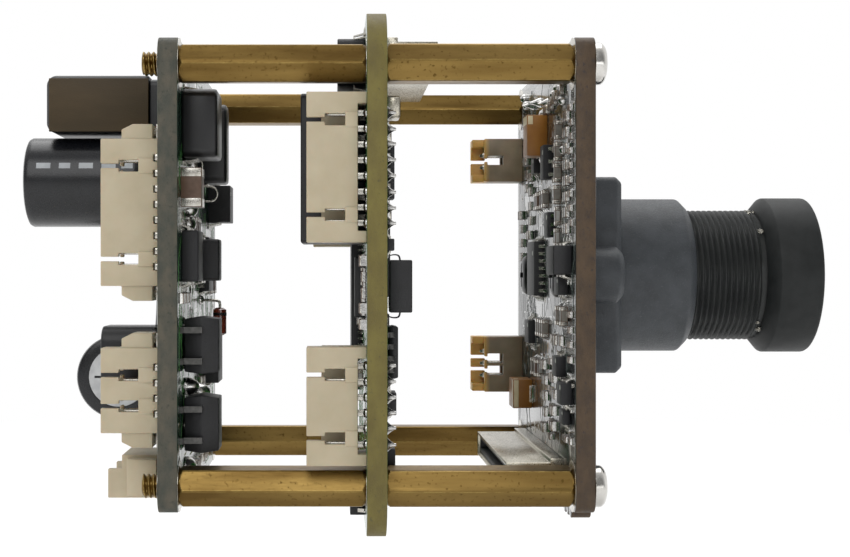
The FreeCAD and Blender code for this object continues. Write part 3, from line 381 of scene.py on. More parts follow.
def addWire(bm, points, radius, material=0, sides=10):
    # a round wire along a smooth path
    path = smoothPath(points)
    rings = []
    side = None
    for i, point in enumerate(path):
        ahead = (path[min(i + 1, len(path) - 1)] - path[max(i - 1, 0)]).normalized()
        side = side or ahead.orthogonal().normalized()
        side = (side - ahead * side.dot(ahead)).normalized()
        up = ahead.cross(side)
        rings.append([bm.verts.new(point + radius * (math.cos(a) * side + math.sin(a) * up))
                      for a in (2 * math.pi * k / sides for k in range(sides))])
    for one, two in zip(rings, rings[1:]):
        for k in range(sides):
            corners = (one[k], one[(k + 1) % sides], two[(k + 1) % sides], two[k])
            bm.faces.new(corners).material_index = material
    for ring in (rings[0][::-1], rings[-1]):
        bm.faces.new(ring).material_index = material


def addFromNode(bm, node, bevel, material=0, segments=2):
    # a node's own shape with its edges rounded; material is an index, or a function of the face
    part = fromNode(node)
    bmesh.ops.dissolve_limit(part, angle_limit=math.radians(1), verts=part.verts, edges=part.edges)
    sharp = [e for e in part.edges if len(e.link_faces) == 2 and e.calc_face_angle(0) > math.radians(28)]
    bmesh.ops.bevel(part, geom=sharp, offset=bevel, segments=segments, profile=0.5, affect="EDGES",
                    clamp_overlap=False)
    bmesh.ops.triangulate(part, faces=[f for f in part.faces if len(f.verts) > 4])
    for face in part.faces:
        face.material_index = material(face) if callable(material) else material
    joinInto(bm, part)


def pieceName(node):
    # rear_board becomes rearBoard
    first, *rest = node.split("_")
    return first + "".join(word.capitalize() for word in rest)


def asPiece(bm, materials, node=None, name=None, slot=None, body="module", sharp=34):
    # closes the mesh into an object that rides on a body; one that stands for a node of the frame
    # takes its name and body from that node (its slot is looked up but not used)
    if node:
        name, slot, body = pieceName(node), slotOf[node], bodyOf[node]
    bmesh.ops.recalc_face_normals(bm, faces=bm.faces)
    mesh = meshFrom(bm, name)
    for material in materials:
        mesh.materials.append(finishes[material])
    mesh.polygons.foreach_set("use_smooth", [True] * len(mesh.polygons))
    mesh.set_sharp_from_angle(angle=math.radians(sharp))
    piece = linkObject(name, mesh)
    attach(piece, body)
    if node:
        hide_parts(node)
    return piece


def roundedPiece(node, look, bevel, segments=2):
    # a node as it is, with rounded edges and one finish
    bm = bmesh.new()
    addFromNode(bm, node, bevel, segments=segments)
    asPiece(bm, [look], node)


def carve(piece, cut):
    # takes the shape of a mesh out of a piece
    bmesh.ops.recalc_face_normals(cut, faces=cut.faces)
    cutter = linkObject("cutter", meshFrom(cut, "cutter"))
    modifier = piece.modifiers.new("cut", "BOOLEAN")
    modifier.operation = "DIFFERENCE"
    modifier.solver = "EXACT"
    modifier.object = cutter
    bpy.context.view_layer.update()
    done = bpy.data.meshes.new_from_object(piece.evaluated_get(bpy.context.evaluated_depsgraph_get()))
    print("carved", piece.name, len(piece.data.polygons), "->", len(done.polygons))
    piece.modifiers.clear()
    piece.data = done
    bpy.data.objects.remove(cutter)


def boardFace(board, side):
    # where a board's front or rear face is along X, and which way it looks
    low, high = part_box(board)
    return (high.x, 1) if side == "front" else (low.x, -1)


# the boards: 0 solder mask, 1 sawn edge, 2 copper under the mask, 3 tinned rings
boardLooks = {
    "rear_board": dict(mask="rearMask", edge="rearEdge", trace="traceGreen", seed=11),
    "middle_board": dict(mask="middleMask", edge="middleEdge", trace="traceGreen", seed=23),
    "sensor_board": dict(mask="sensorMask", edge="sensorEdge", trace="traceDark", seed=37),
}
boardValues = dict(
    lengths(edgeRound=0.08, trackWidth=0.16, trackHeight=0.02, runLength=(0.8, 4.5), margin=0.8,
            viaRadius=0.26, viaHole=0.11, viaHeight=0.03, padRadius=2.1, padHole=1.12, holeKeep=2.7),
    tracks=150, runs=(2, 5), bend=45, vias=70)
studSpots = [middle(low, high)[1:] for low, high, points in looseParts("rear_standoffs")]


def nearStud(y, z):
    return any(math.hypot(y - a, z - b) < boardValues["holeKeep"] for a, b in studSpots)


def addTracks(bm, node, side, rng):
    # runs of copper that turn by half a right angle, each a thin flat prism
    v = boardValues
    face, way = boardFace(node, side)
    low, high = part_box(node)
    limit = min(high.y, -low.y) - v["margin"]
    for n in range(v["tracks"]):
        y, z = rng.uniform(-limit, limit), rng.uniform(-limit, limit)
        heading = 2 * v["bend"] * rng.randrange(4)
        for step in range(rng.randint(*v["runs"])):
            length = rng.uniform(*v["runLength"])
            nextY = y + length * math.cos(math.radians(heading))
            nextZ = z + length * math.sin(math.radians(heading))
            if max(abs(nextY), abs(nextZ)) > limit or nearStud(nextY, nextZ):
                break
            if not nearStud(y, z):
                start, end = Vector((face, y, z)), Vector((face, nextY, nextZ))
                across = Vector((0, z - nextZ, nextY - y)).normalized() * v["trackWidth"] / 2
                outline = [start - across, end - across, end + across, start + across]
                addPrism(bm, outline, (way * v["trackHeight"], 0, 0), 2)
            y, z = nextY, nextZ
            heading += rng.choice((-v["bend"], v["bend"]))


def addRing(bm, face, way, spot, inner, outer, height, count=14):
    rings = [(face, inner), (face, outer), (face + way * height, outer), (face + way * height, inner)]
    addTurned(bm, rings, (0, *spot), count=count, material=3, closed=True)


for node, look in boardLooks.items():
    v = boardValues
    bm = bmesh.new()
    addFromNode(bm, node, v["edgeRound"], lambda face: 0 if abs(face.normal.x) > 0.9 else 1)
    rng = random.Random(look["seed"])
    low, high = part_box(node)
    limit = min(high.y, -low.y) - 2 * v["margin"]
    for side in ("rear", "front"):
        addTracks(bm, node, side, rng)
        face, way = boardFace(node, side)
        for spot in studSpots:
            addRing(bm, face, way, spot, v["padHole"], v["padRadius"], v["trackHeight"], count=32)
        for n in range(v["vias"]):
            spot = rng.uniform(-limit, limit), rng.uniform(-limit, limit)
            if not nearStud(*spot):
                addRing(bm, face, way, spot, v["viaHole"], v["viaRadius"], v["viaHeight"])
    asPiece(bm, [look["mask"], look["edge"], look["trace"], "tin"], node)
print("boards done")


standoffValues = dict(
    lengths(stud=1.0, threadPitch=0.4, threadDepth=0.2, threadStart=0.05, threadEnd=0.3, chamfer=0.32,
            endInset=0.06, cornerInset=0.03, tapped=3.6, hole=1.03),
    tipShare=0.72, neckShare=0.85, steps=72)


def threadRings(start, end, crest, depth, pitch):
    # a right-hand thread: the radius falls and rises once in each pitch along the axis
    def radiusAt(distance):
        def at(angle):
            turn = (distance / pitch - angle / (2 * math.pi)) % 1.0
            return crest - depth * abs(2 * turn - 1) ** 1.2
        return at

    rings = []
    while start < end:
        rings.append((start, radiusAt(start)))
        start += pitch / 8
    return rings


def hexRadius(flat, turn, limit):
    # the distance to a hexagon's side at an angle, kept under a limit that cuts its corners
    def at(angle):
        local = (angle - turn + math.pi / 6) % (math.pi / 3) - math.pi / 6
        return min(flat / math.cos(math.pi / 6 - abs(local)), limit)
    return at


def hexRings(end, way, flat, corners, turn):
    # the chamfer across a hexagon's corners, from its end inwards
    v = standoffValues
    first, last = flat - v["endInset"], corners - v["cornerInset"]
    return [(end + way * v["chamfer"] * k / 4, hexRadius(flat, turn, first + (last - first) * k / 4))
            for k in range(5)]


for node, board in (("rear_standoffs", "rear_board"), ("sensor_standoffs", "middle_board")):
    v = standoffValues
    bm = bmesh.new()
    start, way = boardFace(board, "front")
    for low, high, points in looseParts(node):
        x, y, z = middle(low, high)
        corner = max(points, key=lambda p: round(math.hypot(p.y - y, p.z - z), 7))
        turn = math.atan2(corner.z - z, corner.y - y)
        corners = math.hypot(corner.y - y, corner.z - z)
        flat = corners * math.cos(math.pi / 6)
        rings = [(low.x, 0.0), (low.x, v["stud"] * v["tipShare"])]
        rings += threadRings(low.x + v["threadStart"], start - v["threadEnd"], v["stud"], v["threadDepth"],
                             v["threadPitch"])
        rings.append((start, v["stud"] * v["neckShare"]))
        rings += hexRings(start, 1, flat, corners, turn)
        rings += hexRings(high.x, -1, flat, corners, turn)[::-1]
        bottom = high.x - v["tapped"]
        rings += [(high.x, v["hole"]), (bottom, v["hole"]), (bottom, 0.0)]
        addTurned(bm, rings, (0, y, z), count=v["steps"])
    asPiece(bm, ["brass"], node, sharp=20)

# screws: a rounded head with a cross cut into it, seated on either face of the sensor board
screwValues = dict(lengths(arm=1.15, width=0.5, depth=0.6, crown=0.6, tip=0.25, edge=0.05, above=0.5),
                   tipShare=0.8, crownShare=0.7, depthShare=0.6)
screwKinds = {
    "sensor_board_screws": dict(look="nickel", side="front", shank=0.98 * mm),
    "holder_screws": dict(look="blackSteel", side="rear", shank=0.8 * mm),
}
for node, kind in screwKinds.items():
    v = screwValues
    bm, cuts = bmesh.new(), [bmesh.new(), bmesh.new()]
    seat, way = boardFace("sensor_board", kind["side"])
    shank = kind["shank"]
    for low, high, points in looseParts(node):
        x, y, z = middle(low, high)
        head = (high.y - low.y) / 2
        top, tip = (high.x, low.x) if way > 0 else (low.x, high.x)
        tall = abs(top - seat)
        crown = way * min(v["crown"], v["crownShare"] * tall)
        rings = [(tip, 0.0), (tip, shank * v["tipShare"]), (tip + way * v["tip"], shank), (seat, shank),
                 (seat, head - v["edge"]), (seat + way * v["edge"], head), (top - crown, head)]
        for k in range(1, 9):
            a = math.pi / 2 * k / 8
            rings.append((top - crown * (1 - math.sin(a)), head * (1 + math.cos(a)) / 2))
        addTurned(bm, rings + [(top, 0.0)], (0, y, z), count=40)
        near, far = sorted((top + way * v["above"], top - way * min(v["depth"], v["depthShare"] * tall)))
        for cut, a, b in ((cuts[0], v["arm"], v["width"] / 2), (cuts[1], v["width"] / 2, v["arm"])):
            addBlock(cut, (near, y - a, z - b), (far, y + a, z + b))
    screw = asPiece(bm, [kind["look"]], node, sharp=30)
    for cut in cuts:
        carve(screw, cut)
print("standoffs and screws done")


# the lens: its holder, and a barrel turned from its rear end round the head and back through its bore
lensValues = dict(
    lengths(holderRound=0.14, pitch=0.5, threadDepth=0.30, crest=5.925, noseLength=0.8, noseDrop=0.7,
            noseBevel=(0.06, 0.05), headAt=6.3, threadEnd=0.35, neckDrop=0.25, headStep=0.05,
            slope=(0.85, 0.95), slopeRound=0.04, headRound=0.3, flare=6.2, flareRound=0.05,
            ledge=(0.35, 0.4), waist=3.6, glassGap=0.03, seatGap=0.05),
    steps=96)
v = lensValues
roundedPiece("lens_holder", "holderPlastic", v["holderRound"], segments=3)

low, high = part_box("lens_barrel")
crest, headRadius = v["crest"], high.z
nose, neck = crest - v["noseDrop"], crest - v["neckDrop"]
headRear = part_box("lens_holder")[1].x + v["headAt"]
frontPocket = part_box("front_glass")[1].z + v["glassGap"]
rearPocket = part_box("rear_glass")[1].z + v["glassGap"]
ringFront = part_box("retaining_ring")[1].x
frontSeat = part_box("middle_glass")[0].x
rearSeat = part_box("rear_glass")[1].x + v["seatGap"]
rings = [(low.x, rearPocket), (low.x, nose - v["noseBevel"][1]), (low.x + v["noseBevel"][0], nose),
         (low.x + v["noseLength"], nose)]
rings += threadRings(low.x + v["noseLength"], headRear - v["threadEnd"], crest, v["threadDepth"], v["pitch"])
rings += [(headRear - v["neckDrop"], neck), (headRear, neck), (headRear, crest + v["headStep"]),
          (headRear + v["slope"][0], headRadius - v["slopeRound"]), (headRear + v["slope"][1], headRadius)]
for k in range(5):
    a = math.pi / 2 * k / 4
    rings.append((high.x - v["headRound"] * (1 - math.sin(a)),
                  headRadius - v["headRound"] * (1 - math.cos(a))))
rings += [(high.x, v["flare"] + v["flareRound"]), (high.x - v["flareRound"], v["flare"]),
          (ringFront + v["ledge"][0], frontPocket + v["ledge"][1]), (ringFront, frontPocket),
          (frontSeat, frontPocket), (frontSeat, v["waist"]), (rearSeat, v["waist"]), (rearSeat, rearPocket)]
bm = bmesh.new()
addTurned(bm, rings, (0, 0, 0), count=v["steps"], closed=True,
          material=lambda k, i: 1 if rings[k][0] < headRear else 0)
asPiece(bm, ["anodised", "threadBlack"], "lens_barrel", sharp=40)

# beads of glue where the thread meets the head
glueValues = dict(lengths(size=(0.12, 0.3), back=(0.1, 0.6), sunk=0.05), seed=5, count=16, spread=50,
                  flatness=0.7)
v = glueValues
rng = random.Random(v["seed"])
bm = bmesh.new()
for n in range(v["count"]):
    angle = math.radians(90 + 180 * (n % 2) + rng.uniform(-v["spread"], v["spread"]))
    size = rng.uniform(*v["size"])
    radius = crest - v["sunk"]
    spot = (headRear - rng.uniform(*v["back"]), radius * math.cos(angle), radius * math.sin(angle))
    addBead(bm, spot, (size, v["flatness"] * size, v["flatness"] * size))
asPiece(bm, ["clearGlue"], name="lensGlue", slot="lens_glass", body="lens")
print("lens done")


headerLooks = {
    "ivoryNylon": ("long_rear_header", "short_rear_header", "bottom_rear_header", "long_middle_header",
                   "short_middle_header", "far_middle_header"),
    "shadedAmberNylon": ("two_pin_lens_header", "three_pin_lens_header"),
}
headerRound = 0.07 * mm
for look, headers in headerLooks.items():
    for node in headers:
        roundedPiece(node, look, headerRound)

# pins, and a mound of solder round each foot, higher where the pin stands off the board
footValues = lengths(pinRound=0.05, touching=0.02, near=0.5, rise=0.3, bentRise=0.35, spread=0.16)
pinBoards = {"rear_header_pins": "rear_board", "middle_header_pins": "middle_board",
             "lens_header_pins": "sensor_board"}
for node, board in pinBoards.items():
    v = footValues
    bm = bmesh.new()
    addFromNode(bm, node, v["pinRound"])
    face, way = boardFace(board, "rear")
    for low, high, points in looseParts(node):
        touches = any(abs(p.x - face) < v["touching"] for p in points)
        first, last = extent([p for p in points if abs(p.x - face) < v["near"]] or points)
        x, y, z = middle(first, last)
        size = (v["rise"] if touches else v["bentRise"], (last.y - first.y) / 2 + v["spread"],
                (last.z - first.z) / 2 + v["spread"])
        addBead(bm, (face, y, z), size, 1, rings=8, count=14)
    asPiece(bm, ["tin", "solder"], node)

# peaks of solder where the pins come out of the middle board
jointValues = dict(lengths(foot=0.62, tip=0.12, lip=(0.03, 0.05), lean=0.06), seed=41, uneven=0.1, steps=6,
                   power=1.7)
v = jointValues
bm = bmesh.new()
face, way = boardFace("middle_board", "front")
rng = random.Random(v["seed"])
for low, high, points in looseParts("pin_solder_joints"):
    x, y, z = middle(low, high)
    tall = high.x - face
    foot = v["foot"] * rng.uniform(1 - v["uneven"], 1 + v["uneven"])
    lean = rng.uniform(-v["lean"], v["lean"])
    rings = [(0.0, foot + v["lip"][1]), (v["lip"][0], foot)]
    for k in range(1, v["steps"] + 1):
        t = k / v["steps"]
        rings.append((tall * t, foot * (1 - t) ** v["power"] + v["tip"] * (0.4 + 0.6 * t)))
    addTurned(bm, rings + [(tall * 1.02, 0.0)], (face, y, z + lean), count=16)
asPiece(bm, ["solder"], "pin_solder_joints", sharp=50)
print("headers done")


canValues = dict(
    lengths(length=12.0, radius=4.0, rubber=2.9, bead=1.6, beadDepth=0.22, beadHalf=0.45, beadShoulder=0.2,
            sleeveEdge=0.8, sleeveStep=0.25, dash=1.2, dashGap=0.7, leadRadius=0.3, leadPitch=3.5,
            ventWidth=0.22, ventDepth=0.24, ventMargin=0.9),
    steps=96, stripeWidth=9)
leadBead = (0.4 * mm, 0.7 * mm, 0.7 * mm)


def addCan(bm, along, base, centre, stripeAt):
    # rings of (distance from the base, radius, material): 0 sleeve, 1 the dashes of its polarity
    # stripe, 2 rubber, 3 the can's own metal
    v = canValues
    radius, length, bead, shoulder = v["radius"], v["length"], v["bead"], v["radius"] - 0.7 * v["beadDepth"]
    profile = [(0.45 * mm, 0.0, 2), (0.45 * mm, v["rubber"], 2), (0.1 * mm, v["rubber"] + 0.15 * mm, 3),
               (0.0, radius - 0.35 * mm, 0), (0.1 * mm, radius - 0.08 * mm, 0), (0.3 * mm, radius, 0),
               (bead - v["beadHalf"], radius, 0), (bead - v["beadShoulder"], shoulder, 0),
               (bead, radius - v["beadDepth"], 0), (bead + v["beadShoulder"], shoulder, 0),
               (bead + v["beadHalf"], radius, 0)]
    at = bead + v["beadHalf"] + v["sleeveStep"]
    while at < length - 0.6 * mm:
        profile.append((at, radius, 0))
        at += v["sleeveStep"]
    opening = radius - v["sleeveEdge"]
    profile += [(length - 0.35 * mm, radius, 0), (length - 0.12 * mm, radius - 0.12 * mm, 0),
                (length, radius - 0.4 * mm, 0), (length, opening - 0.35 * mm, 0),
                (length - 0.08 * mm, opening - 0.38 * mm, 3), (length - 0.12 * mm, 0.0, 3)]

    def material(k, i):
        at, kind = profile[k][0], profile[k][2] if k < len(profile) - 1 else 3
        if kind == 0 and bead + 0.6 * mm < at < length - 0.5 * mm:
            angle = (360 * (i + 0.5) / v["steps"] - stripeAt + 180) % 360 - 180
            if at % (v["dash"] + v["dashGap"]) < v["dash"] and abs(angle) < v["stripeWidth"] / 2:
                return 1
        return kind

    addTurned(bm, [(base - at, r) for at, r, kind in profile], centre, along=along, count=v["steps"],
              material=material)


def standCan(node, along, base, centre, stripeAt):
    # a can from its base towards -X or -Y, with a cross scored into its top
    v = canValues
    bm = bmesh.new()
    addCan(bm, along, base, centre, stripeAt)
    can = asPiece(bm, ["sleeve", "sleeveMark", "rubber", "canMetal"], node)
    arm, half = v["radius"] - v["sleeveEdge"] - v["ventMargin"], v["ventWidth"] / 2
    near, far = base - v["length"] - 0.5 * mm, base - v["length"] + v["ventDepth"]
    for a, b in ((arm, half), (half, arm)):
        cut = bmesh.new()
        x, y, z = centre
        if along == "x":
            addBlock(cut, (near, y - a, z - b), (far, y + a, z + b))
        else:
            addBlock(cut, (x - a, near, z - b), (x + a, far, z + b))
        carve(can, cut)


board, way = boardFace("rear_board", "rear")
leads = bmesh.new()
low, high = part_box("upper_capacitor")
x, y, z = middle(low, high)
base = low.x + canValues["length"]
standCan("upper_capacitor", "x", base, (0, y, z), stripeAt=162)
for side in (-0.5, 0.5):
    spot = y + side * canValues["leadPitch"]
    addWire(leads, [(base - 0.6 * mm, spot, z), (base + 0.5 * mm, spot, z), (board, spot, z)],
            canValues["leadRadius"])
    addBead(leads, (board, spot, z), leadBead)

# the lower one lies along Y, and its leads bend towards the board
low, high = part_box("lower_capacitor")
x, y, z = middle(low, high)
x, base = low.x + canValues["radius"], low.y + canValues["length"]
bend = high.y - canValues["leadRadius"]
standCan("lower_capacitor", "y", base, (x, 0, z), stripeAt=120)
for side in (-0.5, 0.5):
    spot = z + side * canValues["leadPitch"]
    addWire(leads, [(x, base - 0.6 * mm, spot), (x, base + 0.3 * mm, spot), (x + 0.5 * mm, bend, spot),
                    (x + 2.5 * mm, bend, spot), (board, bend, spot)], canValues["leadRadius"])
    addBead(leads, (board, bend, spot), leadBead)
asPiece(leads, ["tin"], name="capacitorLeads", slot="tin")

# the wound part: a black frame round a brown core whose faces stand just proud of it
coreValues = lengths(edge=0.12, border=0.28, proud=0.05, foot=0.1, back=0.02, thick=0.3, chamfer=0.05)
v = coreValues
bm = bmesh.new()
addFromNode(bm, "transformer_core", v["edge"], 1)
low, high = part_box("transformer_core")
for near, far in ((low.y - v["proud"], low.y + v["thick"]), (high.y - v["thick"], high.y + v["proud"])):
    addBlock(bm, (low.x + v["border"], near, low.z + v["foot"]),
             (high.x - v["back"], far, high.z - v["border"]), 0, v["chamfer"])
asPiece(bm, ["brownCore", "glossyBlack"], "transformer_core")
print("large parts done")


# parts that keep the frame's shape: the rounding of their edges in millimetres, by finish and node
softParts = [
    ("glossyBlack", dict(transformer_base=0.15, choke=0.18, power_inductor=0.25, second_inductor=0.25)),
    ("blackMoulding", dict(regulator=0.12, controller=0.12, network_transformer=0.15, main_processor=0.06,
                           memory_chip=0.06, network_chip=0.06, serial_port_driver=0.1)),
    ("shellMetal", dict(crystal_can=0.2)),
    ("blackMoulding", dict(surge_diode=0.1, sensor_supply_chip=0.1)),
    ("shellMetal", dict(upper_ribbon_shell=0.06, lower_ribbon_shell=0.06)),
    ("blackMoulding", dict(upper_ribbon_body=0.06, lower_ribbon_body=0.06)),
    ("sensorFace", dict(image_sensor=0.05)),
    ("anodised", dict(retaining_ring=0.08, aperture_stop=0.05)),
]
for look, parts in softParts:
    for node, bevel in parts.items():
        roundedPiece(node, look, bevel * mm)

# packages made of a thick body and thin leads: the body's edges are rounded, the leads stay as they are
packageSplit = lengths(bodyFrom=0.7, chamfer=0.08)
for node in ("bridge_rectifiers", "flash_chip"):
    bm = bmesh.new()
    for low, high, points in looseParts(node):
        if min(high - low) > packageSplit["bodyFrom"]:
            part = bmesh.new()
            for p in points:
                part.verts.new(p)
            bmesh.ops.convex_hull(part, input=part.verts)
            bmesh.ops.dissolve_limit(part, angle_limit=math.radians(2), verts=part.verts, edges=part.edges)
            bmesh.ops.bevel(part, geom=part.edges[:], offset=packageSplit["chamfer"], segments=2,
                            profile=0.5, affect="EDGES")
            joinInto(bm, part)
    leads = fromNode(node)
    for group in islands(leads):
        low, high = extent([vert.co for vert in group])
        if min(high - low) > packageSplit["bodyFrom"]:
            bmesh.ops.delete(leads, geom=group, context="VERTS")
    paint(leads.verts, 1)
    joinInto(bm, leads)
    asPiece(bm, ["blackMoulding", "dullTin"], node)

# Wrapped tantalum capacitors: 0 case, 1 cream stripe, 2 bright tabs at the ends, 3 solder. Tabs and
# beads have their own sizes for a case whose length is along Z and for one along Y.
tantalumValues = dict(
    lengths(edge=0.12, lift=0.012, stripeTall=0.62, stripeLong=(0.95, 0.9), stripeEdge=0.1, tab=0.1,
            tabEdge=0.03, tabFoot=0.02),
    tabShare=0.3,
    z=lengths(tabTall=0.75, beadOut=0.25, beadTall=0.6, beadLong=0.45),
    y=lengths(tabTall=0.3, beadOut=0.2, beadTall=0.2, beadLong=0.35),
    beadShare=dict(z=1.15, y=1.1))
bm = bmesh.new()
face, way = boardFace("sensor_board", "rear")
for low, high, points in looseParts("tantalum_capacitors"):
    v = tantalumValues
    lift = v["lift"]
    long = "z" if high.z - low.z > high.y - low.y else "y"
    (first, last), (start, stop) = (low.y, high.y), (low.z, high.z)
    if long == "z":
        (first, last), (start, stop) = (start, stop), (first, last)

    def place(x, along, across):
        return (x, across, along) if long == "z" else (x, along, across)

    addBlock(bm, low, high, 0, v["edge"])
    if long == "z":
        ends = (last - v["stripeLong"][0], last, stop)
    else:
        ends = (first - lift, first + v["stripeLong"][1], stop + lift)
    addBlock(bm, place(low.x - lift, ends[0], start - lift),
             place(low.x + v["stripeTall"], ends[1], ends[2]), 1, v["stripeEdge"])
    wide = v["tabShare"] * (stop - start)
    centre = (start + stop) / 2
    for end, edge in ((-1, first), (1, last)):
        near, far = sorted((edge, edge + end * v["tab"]))
        addBlock(bm, place(face - v[long]["tabTall"], near, centre - wide),
                 place(face - v["tabFoot"], far, centre + wide), 2, v["tabEdge"])
        addBead(bm, place(face, edge + end * v[long]["beadOut"], centre),
                place(v[long]["beadTall"], v[long]["beadLong"], wide * v["beadShare"][long]), 3)
asPiece(bm, ["tantalumCase", "creamMark", "tin", "solder"], "tantalum_capacitors")

# chip resistors and capacitors: a small block with bright ends in fillets of solder on its pads
chipSides = {
    "rear_board_chips": ("rear_board", "front"), "middle_board_rear_chips": ("middle_board", "rear"),
    "middle_board_front_chips": ("middle_board", "front"), "sensor_board_chips": ("sensor_board", "rear"),
}
chipKinds = {
    "rear_board": ["brown", "grey"] + 2 * ["resistor"], "middle_board": ["brown", "grey"] + 2 * ["resistor"],
    "sensor_board": 2 * ["grey"] + 4 * ["resistor"] + ["brown"],
}
chipBodies = {"brown": 0, "grey": 1, "resistor": 3}
chipMaterials = ["brownCeramic", "greyCeramic", "filmBlack", "whiteCeramic", "tin", "solder"]
chipValues = dict(
    lengths(lift=0.02, bodyDrop=0.015, bodyEdge=0.04, capProud=0.02, capEdge=0.06, film=0.06, filmEdge=0.015,
            padReach=0.26, padSpread=0.08, padHeight=0.03, brownFrom=2.0, uneven=0.03),
    capShare=0.24, capOverlap=0.7, filmShare=0.96, filletShare=0.75, hollow=(0.28, 0.42), filletReach=0.9,
    resistorHeight=0.72)


def addChip(bm, low, high, face, way, rng, kinds):
    v = chipValues
    size = high - low
    kind = rng.choice(kinds) if min(size.y, size.z) < v["brownFrom"] else "brown"
    tall = size.x * (v["resistorHeight"] if kind == "resistor" else 1)
    alongZ = size.z > size.y
    half, side = max(size.y, size.z) / 2, min(size.y, size.z) / 2
    mid = (low + high) / 2
    cap = 2 * half * v["capShare"]
    shift = rng.uniform(-v["uneven"], v["uneven"])

    def spot(height, along, across):
        y, z = (across, along) if alongZ else (along, across)
        return Vector((face + way * height, mid.y + y, mid.z + z + shift))

    def block(h0, h1, a0, a1, across, material, chamfer):
        addBlock(bm, *extent((spot(h0, a0, -across), spot(h1, a1, across))), material, chamfer)

    proud, reach, pad = v["capProud"], v["padReach"], v["padHeight"]
    inside = half - cap * v["capOverlap"]
    block(v["lift"], tall - v["bodyDrop"], -inside, inside, side, chipBodies[kind], v["bodyEdge"])
    if kind == "resistor":
        block(tall - v["film"], tall, cap - half, half - cap, side * v["filmShare"], 2, v["filmEdge"])
    for end in (-1, 1):
        block(v["lift"], tall + proud, end * (half - cap), end * half, side + proud, 4, v["capEdge"])
        block(0, pad, end * (half - cap), end * (half + reach), side + v["padSpread"], 5, 0)
        # the fillet climbs the end from the pad in a hollow curve
        climb = tall * v["filletShare"]
        out, up = v["hollow"]
        outline = [spot(pad, end * half, -side), spot(climb, end * half, -side),
                   spot(climb * up, end * (half + reach * out), -side),
                   spot(pad, end * (half + reach * v["filletReach"]), -side)]
        addPrism(bm, outline, spot(0, 0, side) - spot(0, 0, -side), 5)


for node, (board, side) in chipSides.items():
    bm = bmesh.new()
    rng = random.Random(len(node) * 7)
    face, way = boardFace(board, side)
    for low, high, points in looseParts(node):
        addChip(bm, low, high, face, way, rng, chipKinds[board])
    asPiece(bm, chipMaterials, node)

# moulded packages: bevelled body, a dot by the first lead, and bent leads along two or four sides
packageSides = {
    "rear_board_packages": [("rear_board", "front")],
    "middle_board_packages": [("middle_board", "rear"), ("middle_board", "front")],
    "sensor_board_packages": [("sensor_board", "rear")],
}
packageValues = dict(
    lengths(chamfer=0.09, leadWidth=0.3, leadThick=0.12, leadReach=0.55, leadRoot=0.1, leadMargin=0.5,
            pitch=0.65, twoLeadsUpTo=1.2, threeLeadsUpTo=3.2, fourSidedFrom=4.9, dotRadius=0.22,
            dotHeight=0.008, seated=0.1),
    exitShare=0.45, rowShare=0.9, shortShare=0.6, dotPlace=0.22, dotShare=0.12)


def addLead(bm, face, way, exitHeight, edge, end, spot, alongZ, width, reach):
    # a bent lead: out of the body, down to the board and out along it; end is which way it leaves
    v = packageValues
    thick = v["leadThick"]
    upper, lower = exitHeight + thick / 2, exitHeight - thick / 2
    shoulder, heel = 0.3 * reach, 0.45 * reach
    outline = [(upper, -v["leadRoot"]), (upper, shoulder), (thick, heel + thick), (thick, reach), (0, reach),
               (0, heel), (lower, shoulder - thick * 0.6), (lower, -v["leadRoot"])]

    def place(height, out, across):
        other = edge + end * out
        y, z = (spot + across, other) if alongZ else (other, spot + across)
        return Vector((face + way * height, y, z))

    addPrism(bm, [place(height, out, -width / 2) for height, out in outline],
             place(0, 0, width / 2) - place(0, 0, -width / 2), 1)
    size = (thick * 1.2, width * 0.6, width) if alongZ else (thick * 1.2, width, width * 0.6)
    addBead(bm, place(0, reach * 0.75, 0), size, 2, 6, 8)


def addLeadRows(bm, low, high, board, alongZ, count, span, exitShare, width, reach):
    # a row of leads out of each of two opposite sides
    y, z = middle(low, high)[1:]
    edges, centre = ((low.z, high.z), y) if alongZ else ((low.y, high.y), z)
    for edge, end in zip(edges, (-1, 1)):
        for k in range(count):
            spot = centre + (k - (count - 1) / 2) * span / max(count - 1, 1)
            addLead(bm, *board, (high.x - low.x) * exitShare, edge, end, spot, alongZ, width, reach)


def addPackage(bm, low, high, board):
    v = packageValues
    face, way = board
    size = high - low
    addBlock(bm, low, high, 0, v["chamfer"])
    top = face + way * size.x
    radius = min(v["dotRadius"], v["dotShare"] * min(size.y, size.z))
    raised = top + way * v["dotHeight"]
    addTurned(bm, [(top, radius), (raised, radius * 0.9), (raised, 0.0)],
              (0, low.y + v["dotPlace"] * size.y, high.z - v["dotPlace"] * size.z), count=16, material=3)
    fourSided = min(size.y, size.z) > v["fourSidedFrom"]
    reach = v["leadReach"] * (v["shortShare"] if fourSided else 1)
    for alongZ in [True, False] if fourSided else [size.y > size.z]:
        span = (size.y if alongZ else size.z) - v["leadMargin"]
        count = max(2, int(span / v["pitch"]) + 1) if span > v["twoLeadsUpTo"] else 2
        count = min(count, 3) if max(size.y, size.z) < v["threeLeadsUpTo"] else count
        addLeadRows(bm, low, high, board, alongZ, count, span * v["rowShare"], v["exitShare"],
                    v["leadWidth"], reach)


for node, sides in packageSides.items():
    bm = bmesh.new()
    for low, high, points in looseParts(node):
        for face, way in [boardFace(*side) for side in sides]:
            if abs((low.x if way > 0 else high.x) - face) < packageValues["seated"]:
                addPackage(bm, low, high, (face, way))
    asPiece(bm, ["blackMoulding", "tin", "solder", "silkscreen"], node)

